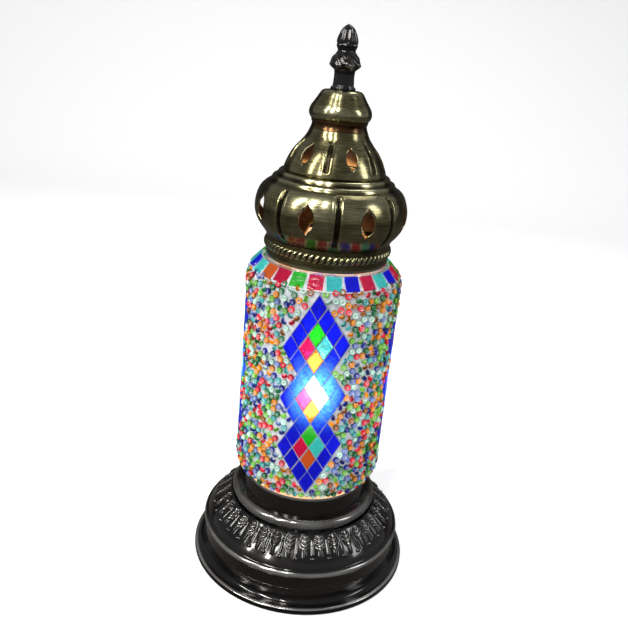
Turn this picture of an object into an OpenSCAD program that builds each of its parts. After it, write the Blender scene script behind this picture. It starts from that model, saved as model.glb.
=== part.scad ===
// Mosaic glass table lamp. A tiled and beaded glass shade stands in a cast base, under a
// pierced brass cap that a clip holds in the glass neck. A small screw bulb is inside.
// Millimetres. +Z is up, the origin is the centre of the underside, and -Y is the front.

/* [Base] */
// Radius of the base at its lip
base_r = 75; // [74:0.5:78]
// Height of the lip's underside over the table
lip_z = 0.6; // [0.4:0.1:0.9]
// Thickness of the cast bell
bell_t = 1.8; // [1.6:0.1:2]
// Number of cast leaves round the bell
leaf_count = 36; // [24:2:40]
// Height of the cast leaves over the bell
leaf_h = 0.7; // [0.5:0.1:0.9]
// Height of the bell's top
bell_top = 44.9; // [44.7:0.1:45.1]
// Thickness of the felt pad under the base
felt_t = 1.6; // [1.4:0.1:1.8]

/* [Cup] */
// Height of the cup's rim
cup_rim = 65.2; // [65:0.1:65.4]
// Wall thickness of the spun cup
cup_t = 1.1; // [1:0.1:1.2]

/* [Shade] */
// Outer radius of the bare glass
glass_r = 46; // [45.6:0.1:46.2]
// Thickness of the blown glass
glass_t = 2.4; // [2.2:0.1:2.6]
// Radius of the curved shoulder of the glass
shoulder_r = 14; // [13.8:0.1:14.2]
// Thickness of the grout over the glass
grout_t = 1.2; // [1.1:0.1:1.3]
// Thickness of the bead layer over the grout
bead_t = 2.5; // [2.2:0.1:2.6]
// Thickness of the glass tiles
tile_t = 1.65; // [1.5:0.05:1.8]

/* [Rhombus panels] */
// Height of the panels' top corner
panel_top = 207.5; // [206:0.5:207.5]
// Height of the panels' bottom corner
panel_foot = 74.4; // [74:0.2:76]
// Distance between neighbouring tiles in a row
tile_pitch = 10.2; // [9.8:0.1:10.3]
// Grout line between tiles
tile_gap = 0.4; // [0.3:0.05:0.6]
// Turn of the first panel's foot from the front
panel_turn = 2; // [0:1:6]
// Sideways lean of each panel over its height
panel_lean = -3.1; // [-3.5:0.1:0]
// Rise of each row of tiles from left to right, in mm for each mm
row_rise = 0.13; // [0:0.01:0.14]

/* [Shoulder tiles] */
// Number of square tiles round the shoulder
shoulder_count = 26; // [24:1:27]
// Width and height of a shoulder tile
shoulder_tile = 8.8; // [8:0.1:8.8]
// Slope of the shoulder tiles from upright
shoulder_tilt = 43; // [42:1:44]

/* [Cap] */
// Outer radius of the collar round the glass neck
collar_r = 38.3; // [38.2:0.1:38.5]
// Sheet thickness of the spun cap pieces
sheet_t = 1; // [0.8:0.1:1.1]
// Number of pierced holes round the lower dome
lower_holes = 8; // [6:1:8]
// Number of pierced holes round the upper dome
upper_holes = 6; // [5:1:6]
// Width of the fluted grooves
flute_w = 3.2; // [2.4:0.2:3.6]
// Depth of the fluted grooves
flute_depth = 0.6; // [0.4:0.1:0.6]
// Number of strands in the rope ring
strand_count = 70; // [60:2:76]

/* [Clip] */
// Width of the clip's brass strap
strap_w = 10; // [8:0.5:11]
// Thickness of the clip's brass strap
strap_t = 1.2; // [1:0.1:1.2]
// Turn of the clip about the upright axis
strap_turn = 45; // [40:1:50]

/* [Lampholder and bulb] */
// Height of the lampholder's top rim
holder_top = 98; // [96:0.5:98]
// Radius of the bulb's globe
globe_r = 22.5; // [20:0.5:22.5]
// Radius of the bulb's screw cap
cap_screw_r = 6.93; // [6.9:0.01:6.94]

/* [Hidden] */
$fn = 96;
eps = 0.01;

cobalt = [0.02, 0.05, 0.7];
crimson = [0.8, 0.02, 0.2];
leaf_green = [0.02, 0.6, 0.08];
turquoise = [0.1, 0.8, 0.78];
burnt_orange = [0.85, 0.25, 0.05];
black_bronze = [0.12, 0.11, 0.1];
antique_brass = [0.42, 0.37, 0.24];
bright_brass = [0.8, 0.62, 0.3];
plated_steel = [0.7, 0.7, 0.72];

// Base heights and radii
felt_r = 71;
foot_hole_r = 19;
plate_r = 72.8;
plate_t = 1.2;
dish_z = 5;
lip_inner_r = 73.2;
lip_round = 1.4;
lip_top = 4.3;
ledge_r = 36;
cup_floor = 50.2;
ring_r = 3.6;
ring_mid = [46.4, 48.5];
cord_z = 14.9;
cord_r = 3;
bush_r = 4.1;
skirt_r = 68.95;

// Stem and lampholder
stem_r = 5;
stem_bore_r = 3.5;
stem_foot = 2;
stem_top = 68;
stem_fit = 0.05;
nut_h = 3;
washer_t = 0.8;
holder_foot = 60;
holder_r = 14;
screw_shell_r = 7;
shell_t = 0.6;
contact_z = 76;
globe_z = 127;
joint_r = 17;
joint_z = globe_z - sqrt(globe_r * globe_r - joint_r * joint_r);

// Shade
neck_foot_r = 40;
neck_foot_z = 53.3;
shoulder_z = 202;
neck_r = 36.3;
neck_top = 227;
coat_gap = 0.04;
shoulder_mid = [glass_r - shoulder_r, shoulder_z];
tile_back = glass_r + grout_t + 0.05;
tile_mid = tile_back + tile_t / 2;
row_last = 14;
tile_half_h = (panel_top - panel_foot - row_last * tile_gap) / (row_last + 2);
row_pitch = tile_half_h + tile_gap;
tile_half_w = tile_pitch / 2 - 0.3;
panel_count = 4;
rim_clear = 12.5;

// Cap
collar_foot = 217.6;
collar_top = 229.9;
flange_z = 228.3;
flange_t = 1.2;
flange_r = 31;
rope_z = 225.4;
rope_half = 2.6;
rope_out = 1.5;
lower_first = 28.2;
upper_first = 20.6;
lower_hole_z = 248.5;
upper_hole_z = 281.5;
rod_r = 3;
rod_foot = 248;
rod_top = 324;
strap_top = 256.6;
crown_foot = 300.6;
crown_top = 317.4;

// ---- curves ----

// Points of an arc about mid in the radius-height plane, from angle a to angle b.
function arc(mid, r, a, b, n = 8) =
    [for (i = [0:n]) let (t = a + (b - a) * i / n) mid + r * [cos(t), sin(t)]];

// One step of a Catmull-Rom curve between points b and c, at t from 0 to 1.
function bend(a, b, c, d, t) =
    (2 * b + (c - a) * t + (2 * a - 5 * b + 4 * c - d) * t * t
    + (3 * b - a - 3 * c + d) * t * t * t) / 2;

// Smooth line through all the points, with n steps between neighbours.
function curve(pts, n = 4) = let (last = len(pts) - 1) concat(
    [for (i = [0:last - 1], k = [0:n - 1])
        bend(pts[max(i - 1, 0)], pts[i], pts[i + 1], pts[min(i + 2, last)], k / n)],
    [pts[last]]);

// Unit vector square to the step from p to q, on its left.
function left_of(p, q) = let (d = q - p) [-d[1], d[0]] / norm(d);

// The same line moved to its left by t, which is inwards for a line that climbs.
function inset(pts, t) = let (last = len(pts) - 1) [
    for (i = [0:last]) let (
        a = i > 0 ? left_of(pts[i - 1], pts[i]) : left_of(pts[0], pts[1]),
        b = i < last ? left_of(pts[i], pts[i + 1]) : a,
        m = (a + b) / norm(a + b)
    ) pts[i] + m * t / max(0.6, m * a)
];

function flip(pts) = [for (i = [len(pts) - 1:-1:0]) pts[i]];

// Sheet of thickness t under the line, turned about the upright axis.
module spun(line, t) {
    rotate_extrude() polygon(concat(line, flip(inset(line, t))));
}

module ring(r_out, r_in, z, h) {
    translate([0, 0, z]) difference() {
        cylinder(r = r_out, h = h);
        translate([0, 0, -1]) cylinder(r = r_in, h = h + 2);
    }
}

// Hexagon nut with the given size across flats.
module nut(flats, bore_r, z, h) {
    translate([0, 0, z]) difference() {
        cylinder(r = flats / sqrt(3), h = h, $fn = 6);
        translate([0, 0, -1]) cylinder(r = bore_r, h = h + 2);
    }
}

// ---- outlines, each climbing from its foot ----

bell_wall = curve([
    [71.2, lip_top], [69.1, 5.1], [67.9, 7], [67.7, 10], [68, 16], [68.3, 21],
    [68.6, 24], [68.2, 26.6], [66.8, 28.6], [64.4, 30.8], [62.4, 33.2], [60.4, 35.3],
    [57.2, 38.1], [54.2, 40.7], [51.8, 43], [50.2, bell_top]
], 3);

glass_foot = curve([
    [neck_foot_r, neck_foot_z], [neck_foot_r, 64.5], [41, 67.6], [43, 70.6],
    [44.8, 73.8], [45.8, 78], [glass_r, 83]
], 3);

glass_line = concat(
    glass_foot,
    arc(shoulder_mid, shoulder_r, 0, 69, 10),
    curve([[36.5, 215.8], [neck_r, 217], [neck_r, neck_top]], 2));

// The part of the glass under grout, and the part of that under beads.
coat_line = concat(
    [for (p = glass_foot) if (p[1] > cup_rim + 1.5) p],
    arc(shoulder_mid, shoulder_r, 0, 62, 9));
bead_line = inset(concat(
    [for (p = glass_foot) if (p[1] > cup_rim + 1.5) p],
    arc(shoulder_mid, shoulder_r, 0, 24, 3)), -grout_t);

lower_line = concat(
    curve([
        [38.6, collar_top], [38.9, 231.4], [40.2, 233.2], [43.9, 238.2], [46.1, 243.3],
        [46.7, 247.8], [46.2, 252.6], [44.6, 257.4], [42.4, 260.8], [39.2, 263.2]
    ], 3),
    arc([35.8, 265.1], 1.4, 20, 110, 4),
    arc([32.5, 268.3], 1.4, 20, 110, 4),
    [[30.9, 270.6], [26.5, 270.9]]);

upper_line = curve([
    [30.9, 272.1], [29.7, 275], [27.9, 279], [25.3, 283.2], [21.9, 287.2], [18.9, 291.2],
    [17.1, 295.2]
], 3);

crown_line = concat(
    curve([
        [17, crown_foot], [18.2, 302.4], [18.6, 304.6], [17.9, 307.4], [16, 310.4],
        [14.1, 313.3], [12.7, 315.8], [11, 317.1], [8.6, crown_top]
    ], 3),
    [[rod_r + stem_fit, crown_top]]);

finial_line = concat(
    [[0, crown_top], [7, crown_top]],
    curve([
        [7.4, 318.2], [6.9, 319.6], [6.2, 321.4], [6, 325], [6.5, 328.6], [8.4, 330.8],
        [8.8, 332.8], [7.8, 335.2], [6, 337.4], [5.4, 339.2], [6.1, 340.6], [6.5, 342],
        [5.9, 344.6], [4.8, 347.6], [3.2, 350.8], [1.1, 352.8]
    ], 3),
    [[0, 353]]);

// ---- base ----

module felt_pad() {
    color([0.1, 0.13, 0.1]) ring(felt_r, foot_hole_r, 0, felt_t);
}

// Closing plate, dished over the bottom nut.
module bottom_plate() {
    slope = 3;
    color(plated_steel) rotate_extrude() polygon([
        [stem_r + stem_fit, dish_z], [foot_hole_r - slope, dish_z],
        [foot_hole_r, felt_t], [plate_r, felt_t], [plate_r, felt_t + plate_t],
        [foot_hole_r + 0.8, felt_t + plate_t], [foot_hole_r - slope + 0.8, dish_z + plate_t],
        [stem_r + stem_fit, dish_z + plate_t]
    ]);
}

// One pointed leaf lying on the bell's upper slope.
module cast_leaf() {
    foot = [60.9, 35];
    tip = [52.6, 42.8];
    long = norm(tip - foot);
    rise = atan2(tip[1] - foot[1], foot[0] - tip[0]);
    sink = 0.5;
    translate([0, -foot[0], foot[1]])
        rotate([rise, 0, 0])
            translate([0, 0, -sink])
                linear_extrude(leaf_h + sink) polygon([
                    [0, 0], [1.7, long * 0.25], [2.2, long * 0.5], [1.3, long * 0.8],
                    [0, long], [-1.3, long * 0.8], [-2.2, long * 0.5], [-1.7, long * 0.25]
                ]);
}

module base_bell() {
    flange_in = 30;
    inner = inset(bell_wall, bell_t);
    inner_wall = [for (p = inner) if (p[1] < bell_top - bell_t - 0.2 && p[1] > lip_top) p];
    color(black_bronze) difference() {
        union() {
            rotate_extrude() polygon(concat(
                [[base_r, lip_z]],
                arc([base_r - lip_round, lip_top - lip_round], lip_round, 0, 90, 5),
                bell_wall,
                [[flange_in, bell_top], [flange_in, bell_top - bell_t]],
                flip(inner_wall),
                [[inner_wall[0][0], felt_t + plate_t], [lip_inner_r, felt_t + plate_t],
                    [lip_inner_r, lip_z]]
            ));
            for (i = [0:leaf_count - 1]) rotate([0, 0, 360 * i / leaf_count]) cast_leaf();
        }
        translate([0, base_r - 5, cord_z])
            rotate([90, 0, 0]) cylinder(r = bush_r + 0.05, h = 12);
    }
}

// Bush that the cord comes out of, at the back of the skirt.
module cable_bush() {
    head_r = 6.4;
    head_t = 1.8;
    lip_r = 4.8;
    lip_y = 65.7;
    foot_y = 63.8;
    color([0.08, 0.08, 0.08])
        translate([0, foot_y, cord_z]) rotate([-90, 0, 0]) difference() {
            union() {
                cylinder(r = bush_r, h = skirt_r - foot_y + eps);
                cylinder(r = lip_r, h = lip_y - foot_y);
                translate([0, 0, skirt_r - foot_y]) cylinder(r = head_r, h = head_t);
            }
            translate([0, 0, -1]) cylinder(r = cord_r, h = 12);
        }
}

// Round moulding between the bell and the cup, with a ledge under the cup's floor.
module bead_ring() {
    cup_foot_r = 43.35;
    color(black_bronze) rotate_extrude() polygon(concat(
        [[ledge_r, bell_top]],
        arc(ring_mid, ring_r, -88, 88, 12),
        [[cup_foot_r, 52.3], [cup_foot_r, cup_floor], [ledge_r, cup_floor]]
    ));
}

module base_cup() {
    wall = curve([
        [43.3, cup_floor], [43.2, 53], [42.7, 57], [42.4, 61], [42.45, cup_rim]
    ], 3);
    inner = [for (p = inset(wall, cup_t)) if (p[1] > cup_floor + 1.5) p];
    color(black_bronze) rotate_extrude() polygon(concat(
        [[stem_r + 0.2, cup_floor]],
        wall,
        flip(inner),
        [[inner[0][0], cup_floor + 1.4], [stem_r + 0.2, cup_floor + 1.4]]
    ));
}

module stem_tube() {
    color(plated_steel) ring(stem_r, stem_bore_r, stem_foot, stem_top - stem_foot);
}

module stem_nuts() {
    color(plated_steel) {
        nut(14, stem_r, dish_z - washer_t - 1.9, 1.9);
        nut(14, stem_r, cup_floor + 1.4 + washer_t, nut_h);
    }
}

module stem_washers() {
    washer_r = 10;
    color(plated_steel) {
        ring(washer_r, stem_r + stem_fit, dish_z - washer_t, washer_t);
        ring(washer_r, stem_r + stem_fit, cup_floor + 1.4, washer_t);
    }
}

// Silicone channel that the foot of the glass stands in.
module glass_seat() {
    color([0.75, 0.73, 0.68]) rotate_extrude() polygon([
        [36.5, 51.6], [41.2, 51.6], [41.2, 62], [neck_foot_r + 0.1, 62],
        [neck_foot_r + 0.1, neck_foot_z - 0.1], [36.5, neck_foot_z - 0.1]
    ]);
}

// ---- lampholder ----

module lampholder_cap() {
    foot_r = 9;
    shoulder = 72;
    color([0.06, 0.06, 0.06]) rotate_extrude() polygon([
        [stem_r + stem_fit, holder_foot], [foot_r, holder_foot], [holder_r, 66],
        [holder_r, shoulder], [holder_r - 1.5, shoulder], [holder_r - 1.5, 67],
        [foot_r - 1, 63], [stem_r + stem_fit, 63]
    ]);
}

module lampholder_body() {
    core_r = screw_shell_r + shell_t;
    color([0.08, 0.08, 0.08]) rotate_extrude() polygon([
        [stem_r + 1, 72], [holder_r, 72], [holder_r, holder_top], [core_r, holder_top],
        [core_r, contact_z - 1], [stem_r + 1, contact_z - 1]
    ]);
}

module screw_shell() {
    color(bright_brass) ring(screw_shell_r + shell_t, screw_shell_r, contact_z - 1, 21);
}

// Sprung tongue under the bulb's tip, with its fixing plate across the holder's floor.
module centre_contact() {
    color(bright_brass) translate([0, 2, 0]) rotate([90, 0, 0])
        linear_extrude(4) polygon([
            [-6.8, 73], [6.8, 73], [6.8, 74], [0, 74], [2.4, 77.4], [-2.4, 77.4],
            [-2.4, 76.6], [0.8, 76.6], [-1.6, 74], [-6.8, 74]
        ]);
}

// ---- shade ----

module glass_shade() {
    color([0.85, 0.9, 0.9, 0.4]) spun(glass_line, glass_t);
}

module grout_coat() {
    outer = inset(coat_line, -grout_t);
    inner = inset(coat_line, -0.02);
    color([0.72, 0.73, 0.74]) rotate_extrude() polygon(concat(outer, flip(inner)));
}

// Sideways place on the curved glass as an angle about the axis.
function turn_at(x) = x / tile_mid * 180 / PI;

function lean_at(z) = panel_lean * (z - panel_foot) / (panel_top - panel_foot);

// Tiles in row k of a panel, counted from its top corner.
function row_count(k) = k < 4 ? k + 1 : k > 10 ? 15 - k : 2 + abs((k + 1) % 4 - 2);

// Colour of tile i in row k: a blue outline round small diamonds of four colours.
function panel_colour(k, i) = let (n = row_count(k))
    n == 3 && i == 1 ? (k % 4 == 2 ? "green" : "orange")
    : n == 4 && i == 1 ? "crimson"
    : n == 4 && i == 2 ? "turquoise"
    : "blue";

module rhombus_tile() {
    rise = tile_half_w * row_rise;
    translate([0, -tile_back, 0]) rotate([90, 0, 0]) linear_extrude(tile_t) polygon([
        [0, tile_half_h], [tile_half_w, rise], [0, -tile_half_h], [-tile_half_w, -rise]
    ]);
}

module panel_tiles(name) {
    for (side = [0:panel_count - 1], k = [0:row_last], i = [0:row_count(k) - 1])
        if (panel_colour(k, i) == name) {
            z = panel_top - tile_half_h - row_pitch * k;
            across = (i - (row_count(k) - 1) / 2) * tile_pitch;
            rotate([0, 0, panel_turn + 360 * side / panel_count + turn_at(across + lean_at(z))])
                translate([0, 0, z + across * row_rise]) rhombus_tile();
        }
}

module panel_tiles_blue() {
    color(cobalt) panel_tiles("blue");
}

module panel_tiles_crimson() {
    color(crimson) panel_tiles("crimson");
}

module panel_tiles_green() {
    color(leaf_green) panel_tiles("green");
}

module panel_tiles_turquoise() {
    color(turquoise) panel_tiles("turquoise");
}

module panel_tiles_orange() {
    color(burnt_orange) panel_tiles("orange");
}

// Outline of one panel on the flat, with room for a grout line round it.
function panel_outline() = let (
    step = 4 * row_pitch,
    mid = (panel_top + panel_foot) / 2,
    room = 0.5,
    wide = tile_mid * sin(turn_at(2 * tile_pitch)) + room,
    waist = tile_mid * sin(turn_at(tile_pitch)) + room,
    right = [
        [0, panel_top + 1.2], [wide, mid + step], [waist, mid + step / 2], [wide, mid],
        [waist, mid - step / 2], [wide, mid - step], [0, panel_foot - 1.2]
    ],
    left = [for (i = [5:-1:1]) [-right[i][0], right[i][1]]]
) [for (p = concat(right, left)) [p[0] + lean_at(p[1]), p[1] + p[0] * row_rise]];

// Bead layer between the panels, as one coat.
module bead_coat() {
    color([0.55, 0.5, 0.42]) difference() {
        rotate_extrude() polygon(concat(
            inset(bead_line, -bead_t), flip(inset(bead_line, -coat_gap))
        ));
        for (side = [0:panel_count - 1])
            rotate([0, 0, panel_turn + 360 * side / panel_count])
                translate([0, -glass_r + rim_clear, 0]) rotate([90, 0, 0])
                    linear_extrude(2 * rim_clear) polygon(panel_outline());
    }
}

// Colours round the shoulder, one letter a tile, from the tile left of the front.
shoulder_order = "CTBCTBCGTOCBTCGCTBCGTBTOCG";

function shoulder_colour(i) = let (c = shoulder_order[i])
    c == "C" ? "crimson" : c == "T" ? "turquoise" : c == "B" ? "blue"
    : c == "G" ? "green" : "orange";

module shoulder_tiles(name) {
    first = -5.8;
    reach = shoulder_r + grout_t + 0.05;
    for (i = [0:shoulder_count - 1]) if (shoulder_colour(i) == name)
        rotate([0, 0, first + 360 * i / shoulder_count])
            translate([0, -shoulder_mid[0] - reach * cos(shoulder_tilt),
                shoulder_z + reach * sin(shoulder_tilt)])
                rotate([90 - shoulder_tilt, 0, 0])
                    translate([-shoulder_tile / 2, -shoulder_tile / 2, 0])
                        cube([shoulder_tile, shoulder_tile, tile_t]);
}

module shoulder_tiles_blue() {
    color(cobalt) shoulder_tiles("blue");
}

module shoulder_tiles_crimson() {
    color(crimson) shoulder_tiles("crimson");
}

module shoulder_tiles_green() {
    color(leaf_green) shoulder_tiles("green");
}

module shoulder_tiles_turquoise() {
    color(turquoise) shoulder_tiles("turquoise");
}

module shoulder_tiles_orange() {
    color(burnt_orange) shoulder_tiles("orange");
}

// ---- bulb ----

module bulb_globe() {
    inner_r = globe_r - 1;
    drop = joint_z - globe_z;
    color([0.95, 0.95, 0.92]) rotate_extrude() polygon(concat(
        arc([0, globe_z], globe_r, asin(drop / globe_r), 90, 18),
        flip(arc([0, globe_z], inner_r, asin(drop / inner_r), 90, 18))
    ));
}

module bulb_housing() {
    color([0.9, 0.9, 0.9]) rotate_extrude() polygon(concat(
        [[0, holder_top + 0.6], [8, holder_top + 0.6]],
        curve([[8.4, 99.4], [10.6, 103.4], [14, 108], [joint_r, joint_z]], 3),
        [[0, joint_z]]
    ));
}

// Round board with its light sources, inside the globe.
module bulb_led_board() {
    color([0.95, 0.9, 0.6]) {
        translate([0, 0, joint_z]) cylinder(r = 13, h = 1);
        for (i = [0:5]) rotate([0, 0, 60 * i])
            translate([8, -1.5, joint_z + 1 - eps]) cube([3, 3, 1]);
    }
}

module bulb_screw_cap() {
    color(plated_steel) translate([0, 0, 80]) cylinder(r = cap_screw_r, h = holder_top - 79.4);
}

module bulb_insulator() {
    color([0.1, 0.1, 0.12]) rotate_extrude() polygon([
        [0, 78.6], [3.4, 78.6], [6.2, 80], [0, 80]
    ]);
}

module bulb_contact() {
    color(bright_brass) translate([0, 0, 77.6]) cylinder(r = 2.4, h = 1);
}

// ---- cap ----

module neck_gasket() {
    color([0.15, 0.15, 0.15]) ring(
        neck_r + 0.2, neck_r - glass_t - 0.2, neck_top + 0.15, flange_z - neck_top - 0.15
    );
}

module cap_collar() {
    inner_r = collar_r - 1.2;
    color(antique_brass) rotate_extrude() polygon([
        [collar_r, collar_foot], [collar_r, collar_top], [inner_r, collar_top],
        [inner_r, flange_z + flange_t], [flange_r, flange_z + flange_t], [flange_r, flange_z],
        [inner_r, flange_z], [inner_r, collar_foot]
    ]);
}

// Twisted ring round the collar: a half-round ring with leaning strands across it.
module rope_ring() {
    seat = collar_r;
    strand_r = 0.85;
    lean = 28;
    color(antique_brass) difference() {
        union() {
            rotate_extrude() polygon([
                [seat, rope_z - rope_half], [seat + 0.7, rope_z - rope_half + 0.3],
                [seat + 1.1, rope_z - 1], [seat + 1.1, rope_z + 1],
                [seat + 0.7, rope_z + rope_half - 0.3], [seat, rope_z + rope_half]
            ]);
            for (i = [0:strand_count - 1]) rotate([0, 0, 360 * i / strand_count])
                translate([0, -seat - rope_out + strand_r, rope_z]) rotate([0, lean, 0])
                    cylinder(r = strand_r, h = 2 * rope_half - 1, center = true, $fn = 24);
        }
        cylinder(r = seat, h = 300);
    }
}

// Pointed ogee outline of a pierced hole, centred on the origin.
module ogee(w, h) {
    side = curve([
        [0, h / 2], [w * 0.16, h * 0.34], [w * 0.4, h * 0.2], [w / 2, 0], [w * 0.38, -h * 0.2],
        [w * 0.3, -h * 0.27], [0, -h / 2]
    ], 2);
    last = len(side) - 1;
    polygon(concat(side, [for (i = [last - 1:-1:1]) [-side[i][0], side[i][1]]]));
}

// Ring of pierced holes, cut straight outwards from the axis.
module pierced(count, first, z, w, h) {
    for (i = [0:count - 1]) rotate([0, 0, first + 360 * i / count])
        translate([0, -10, z]) rotate([90, 0, 0]) linear_extrude(45) ogee(w, h);
}

// Grooves midway between the holes: the outer skin of the line cut away in narrow slabs.
module flutes(count, line, first, foot, top) {
    skin = [for (p = line) if (p[1] > foot && p[1] < top) p];
    for (i = [0:count - 1]) rotate([0, 0, first + 360 * (i + 0.5) / count])
        intersection() {
            rotate_extrude() polygon(concat(inset(skin, -1), flip(inset(skin, flute_depth))));
            translate([-flute_w / 2, -60, foot - 10]) cube([flute_w, 60, top - foot + 20]);
        }
}

module lower_dome() {
    color(antique_brass) difference() {
        spun(lower_line, sheet_t);
        pierced(lower_holes, lower_first, lower_hole_z, 9.2, 19);
        flutes(lower_holes, lower_line, lower_first, 235, 262);
    }
}

module upper_dome() {
    floor_t = 1;
    color(antique_brass) difference() {
        union() {
            spun(upper_line, sheet_t);
            ring(30.8, 26.5, 270.9, floor_t + 0.3);
            ring(17.1, 12, 294.2, 1);
        }
        pierced(upper_holes, upper_first, upper_hole_z, 7, 12.5);
        flutes(upper_holes, upper_line, upper_first, 274, 290);
    }
}

module neck_spacer() {
    color([0.2, 0.14, 0.1]) rotate_extrude() polygon(concat(
        [[12, 295.2], [17, 295.2]],
        curve([[16.9, 296.2], [16.5, 298], [17, 299.8]], 3),
        [[17, crown_foot], [12, crown_foot]]
    ));
}

module crown_cup() {
    color(antique_brass) spun(crown_line, sheet_t);
}

// Bent strap: its feet hook under the collar's flange and its legs press in the glass neck.
module clip_strap() {
    foot_x = 28.4;
    leg_x = 32.5;
    hook_z = flange_z - strap_t / 2;
    right = [
        [0, strap_top - strap_t / 2], [11, strap_top - strap_t / 2], [foot_x, flange_z + 1.6],
        [foot_x, hook_z], [leg_x, hook_z], [leg_x, 212]
    ];
    path = concat([for (i = [5:-1:1]) [-right[i][0], right[i][1]]], right);
    color(bright_brass) rotate([0, 0, strap_turn]) difference() {
        translate([0, strap_w / 2, 0]) rotate([90, 0, 0]) linear_extrude(strap_w)
            polygon(concat(inset(path, strap_t / 2), flip(inset(path, -strap_t / 2))));
        translate([0, 0, strap_top - 3]) cylinder(r = rod_r + stem_fit, h = 6);
    }
}

module tie_rod() {
    color(plated_steel) translate([0, 0, rod_foot]) cylinder(r = rod_r, h = rod_top - rod_foot);
}

module rod_nuts() {
    rod_nut_h = 5;
    color(plated_steel) {
        nut(10, rod_r, strap_top - strap_t - rod_nut_h, rod_nut_h);
        nut(10, rod_r, strap_top, rod_nut_h);
    }
}

// Cast finial that screws down on the rod.
module finial() {
    color([0.1, 0.1, 0.09]) difference() {
        rotate_extrude() polygon(finial_line);
        translate([0, 0, crown_top - 1]) cylinder(r = rod_r + stem_fit, h = rod_top - crown_top + 1.5);
    }
}

felt_pad();
bottom_plate();
base_bell();
cable_bush();
bead_ring();
base_cup();
stem_tube();
stem_nuts();
stem_washers();
glass_seat();
lampholder_cap();
lampholder_body();
screw_shell();
centre_contact();
glass_shade();
grout_coat();
bead_coat();
panel_tiles_blue();
panel_tiles_crimson();
panel_tiles_green();
panel_tiles_turquoise();
panel_tiles_orange();
shoulder_tiles_blue();
shoulder_tiles_crimson();
shoulder_tiles_green();
shoulder_tiles_turquoise();
shoulder_tiles_orange();
bulb_globe();
bulb_housing();
bulb_led_board();
bulb_screw_cap();
bulb_insulator();
bulb_contact();
neck_gasket();
cap_collar();
rope_ring();
lower_dome();
upper_dome();
neck_spacer();
crown_cup();
clip_strap();
tie_rod();
rod_nuts();
finial();
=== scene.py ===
# %% [markdown]
# # A mosaic glass table lamp
#
# A blown glass cylinder, covered by hand with glass tiles and seed beads, stands in a black
# cast base and carries a pierced brass cap. The bulb inside is lit, so the glass glows, partly
# from the bulb's real light and partly from a painted glow.
#
# The imported CAD model fixes every size. Here each visible piece is made again as a fine
# surface in the same place, and each gets a finish. Shapes are worked out in millimetres
# and scaled to metres once, when they become meshes.

import math

import bmesh
import bpy
import numpy as np
from mathutils import Matrix, Vector


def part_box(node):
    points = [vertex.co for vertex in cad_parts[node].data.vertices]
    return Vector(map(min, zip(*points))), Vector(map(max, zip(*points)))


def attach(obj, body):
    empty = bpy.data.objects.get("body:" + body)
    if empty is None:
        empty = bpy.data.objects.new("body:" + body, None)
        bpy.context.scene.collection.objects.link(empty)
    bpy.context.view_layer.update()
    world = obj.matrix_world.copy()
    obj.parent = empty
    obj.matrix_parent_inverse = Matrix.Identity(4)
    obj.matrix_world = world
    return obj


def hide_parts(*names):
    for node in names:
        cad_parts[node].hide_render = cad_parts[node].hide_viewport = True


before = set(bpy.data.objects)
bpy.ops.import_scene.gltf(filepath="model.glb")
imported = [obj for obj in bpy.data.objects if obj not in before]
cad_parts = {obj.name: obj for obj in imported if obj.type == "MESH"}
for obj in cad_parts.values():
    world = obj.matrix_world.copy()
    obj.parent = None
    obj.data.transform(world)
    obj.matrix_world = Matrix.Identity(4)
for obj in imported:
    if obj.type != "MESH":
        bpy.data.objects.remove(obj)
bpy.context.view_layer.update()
MM = 0.001
scene = bpy.context.scene
rng = np.random.default_rng(7)

# %% [markdown]
# ## The camera
#
# The lamp is seen from a little above, from close by, and the camera is tipped a few degrees
# so that the lamp's top leans to the right. The camera's three axes are worked out from
# those angles and set as one matrix.

# %% Camera
EYE = Vector((0, -0.4258, 0.3371))
DOWN, TURN, TIP = (math.radians(a) for a in (20.52, -0.56, 5.51))
LENS = 40.1274


def aim_camera():
    """Axes from the three angles: look along `ahead`, then tip right and up about it."""
    level_part = math.cos(DOWN)
    ahead = Vector((math.sin(TURN) * level_part, math.cos(TURN) * level_part, -math.sin(DOWN)))
    level = Vector((math.cos(TURN), -math.sin(TURN), 0))
    above = level.cross(ahead)
    right = math.cos(TIP) * level + math.sin(TIP) * above
    up = -math.sin(TIP) * level + math.cos(TIP) * above
    camera = bpy.data.objects.new("camera", bpy.data.cameras.new("camera"))
    scene.collection.objects.link(camera)
    camera.matrix_world = Matrix.Translation(EYE) @ Matrix((right, up, -ahead)).transposed().to_4x4()
    camera.data.lens = LENS
    camera.data.clip_start = 0.01
    scene.camera = camera
    return camera


camera = aim_camera()
print("lens", round(camera.data.lens, 1), "mm")

# %% [markdown]
# ## The room
#
# A plain pale floor, and soft light from panels. Dark shiny metal shows what stands round
# it, so the room is dim, and tall narrow panels high on the left draw long streaks down the
# brass. A white floor would wash out the black base, so for mirror rays the floor is
# darker, which is what black cards do in a studio. The colours of the glass are strong and
# pure, so the picture is made with the plain view transform, which doesn't grey them.

# %% Lights
scene.view_settings.view_transform = "Standard"


def soft_panel(name, place, wide, tall, power, tint=(1, 1, 1), target=(0, 0, 0.2)):
    """A panel of light of the given size at place, turned to face the target."""
    lamp = bpy.data.lights.new(name, "AREA")
    lamp.shape = "RECTANGLE"
    lamp.size, lamp.size_y, lamp.energy, lamp.color = wide, tall, power, tint
    holder = bpy.data.objects.new(name, lamp)
    scene.collection.objects.link(holder)
    holder.location = place
    holder.rotation_euler = (Vector(place) - Vector(target)).to_track_quat("Z", "Y").to_euler()
    return holder


def panel_round(name, turn, lift, reach, wide, tall, power, tint=(1, 1, 1)):
    """A panel at an angle from the front, an angle of lift and a distance."""
    turn, lift = math.radians(turn), math.radians(lift)
    level = reach * math.cos(lift)
    place = (level * math.sin(turn), -level * math.cos(turn), 0.2 + reach * math.sin(lift))
    return soft_panel(name, place, wide, tall, power, tint)


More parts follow.
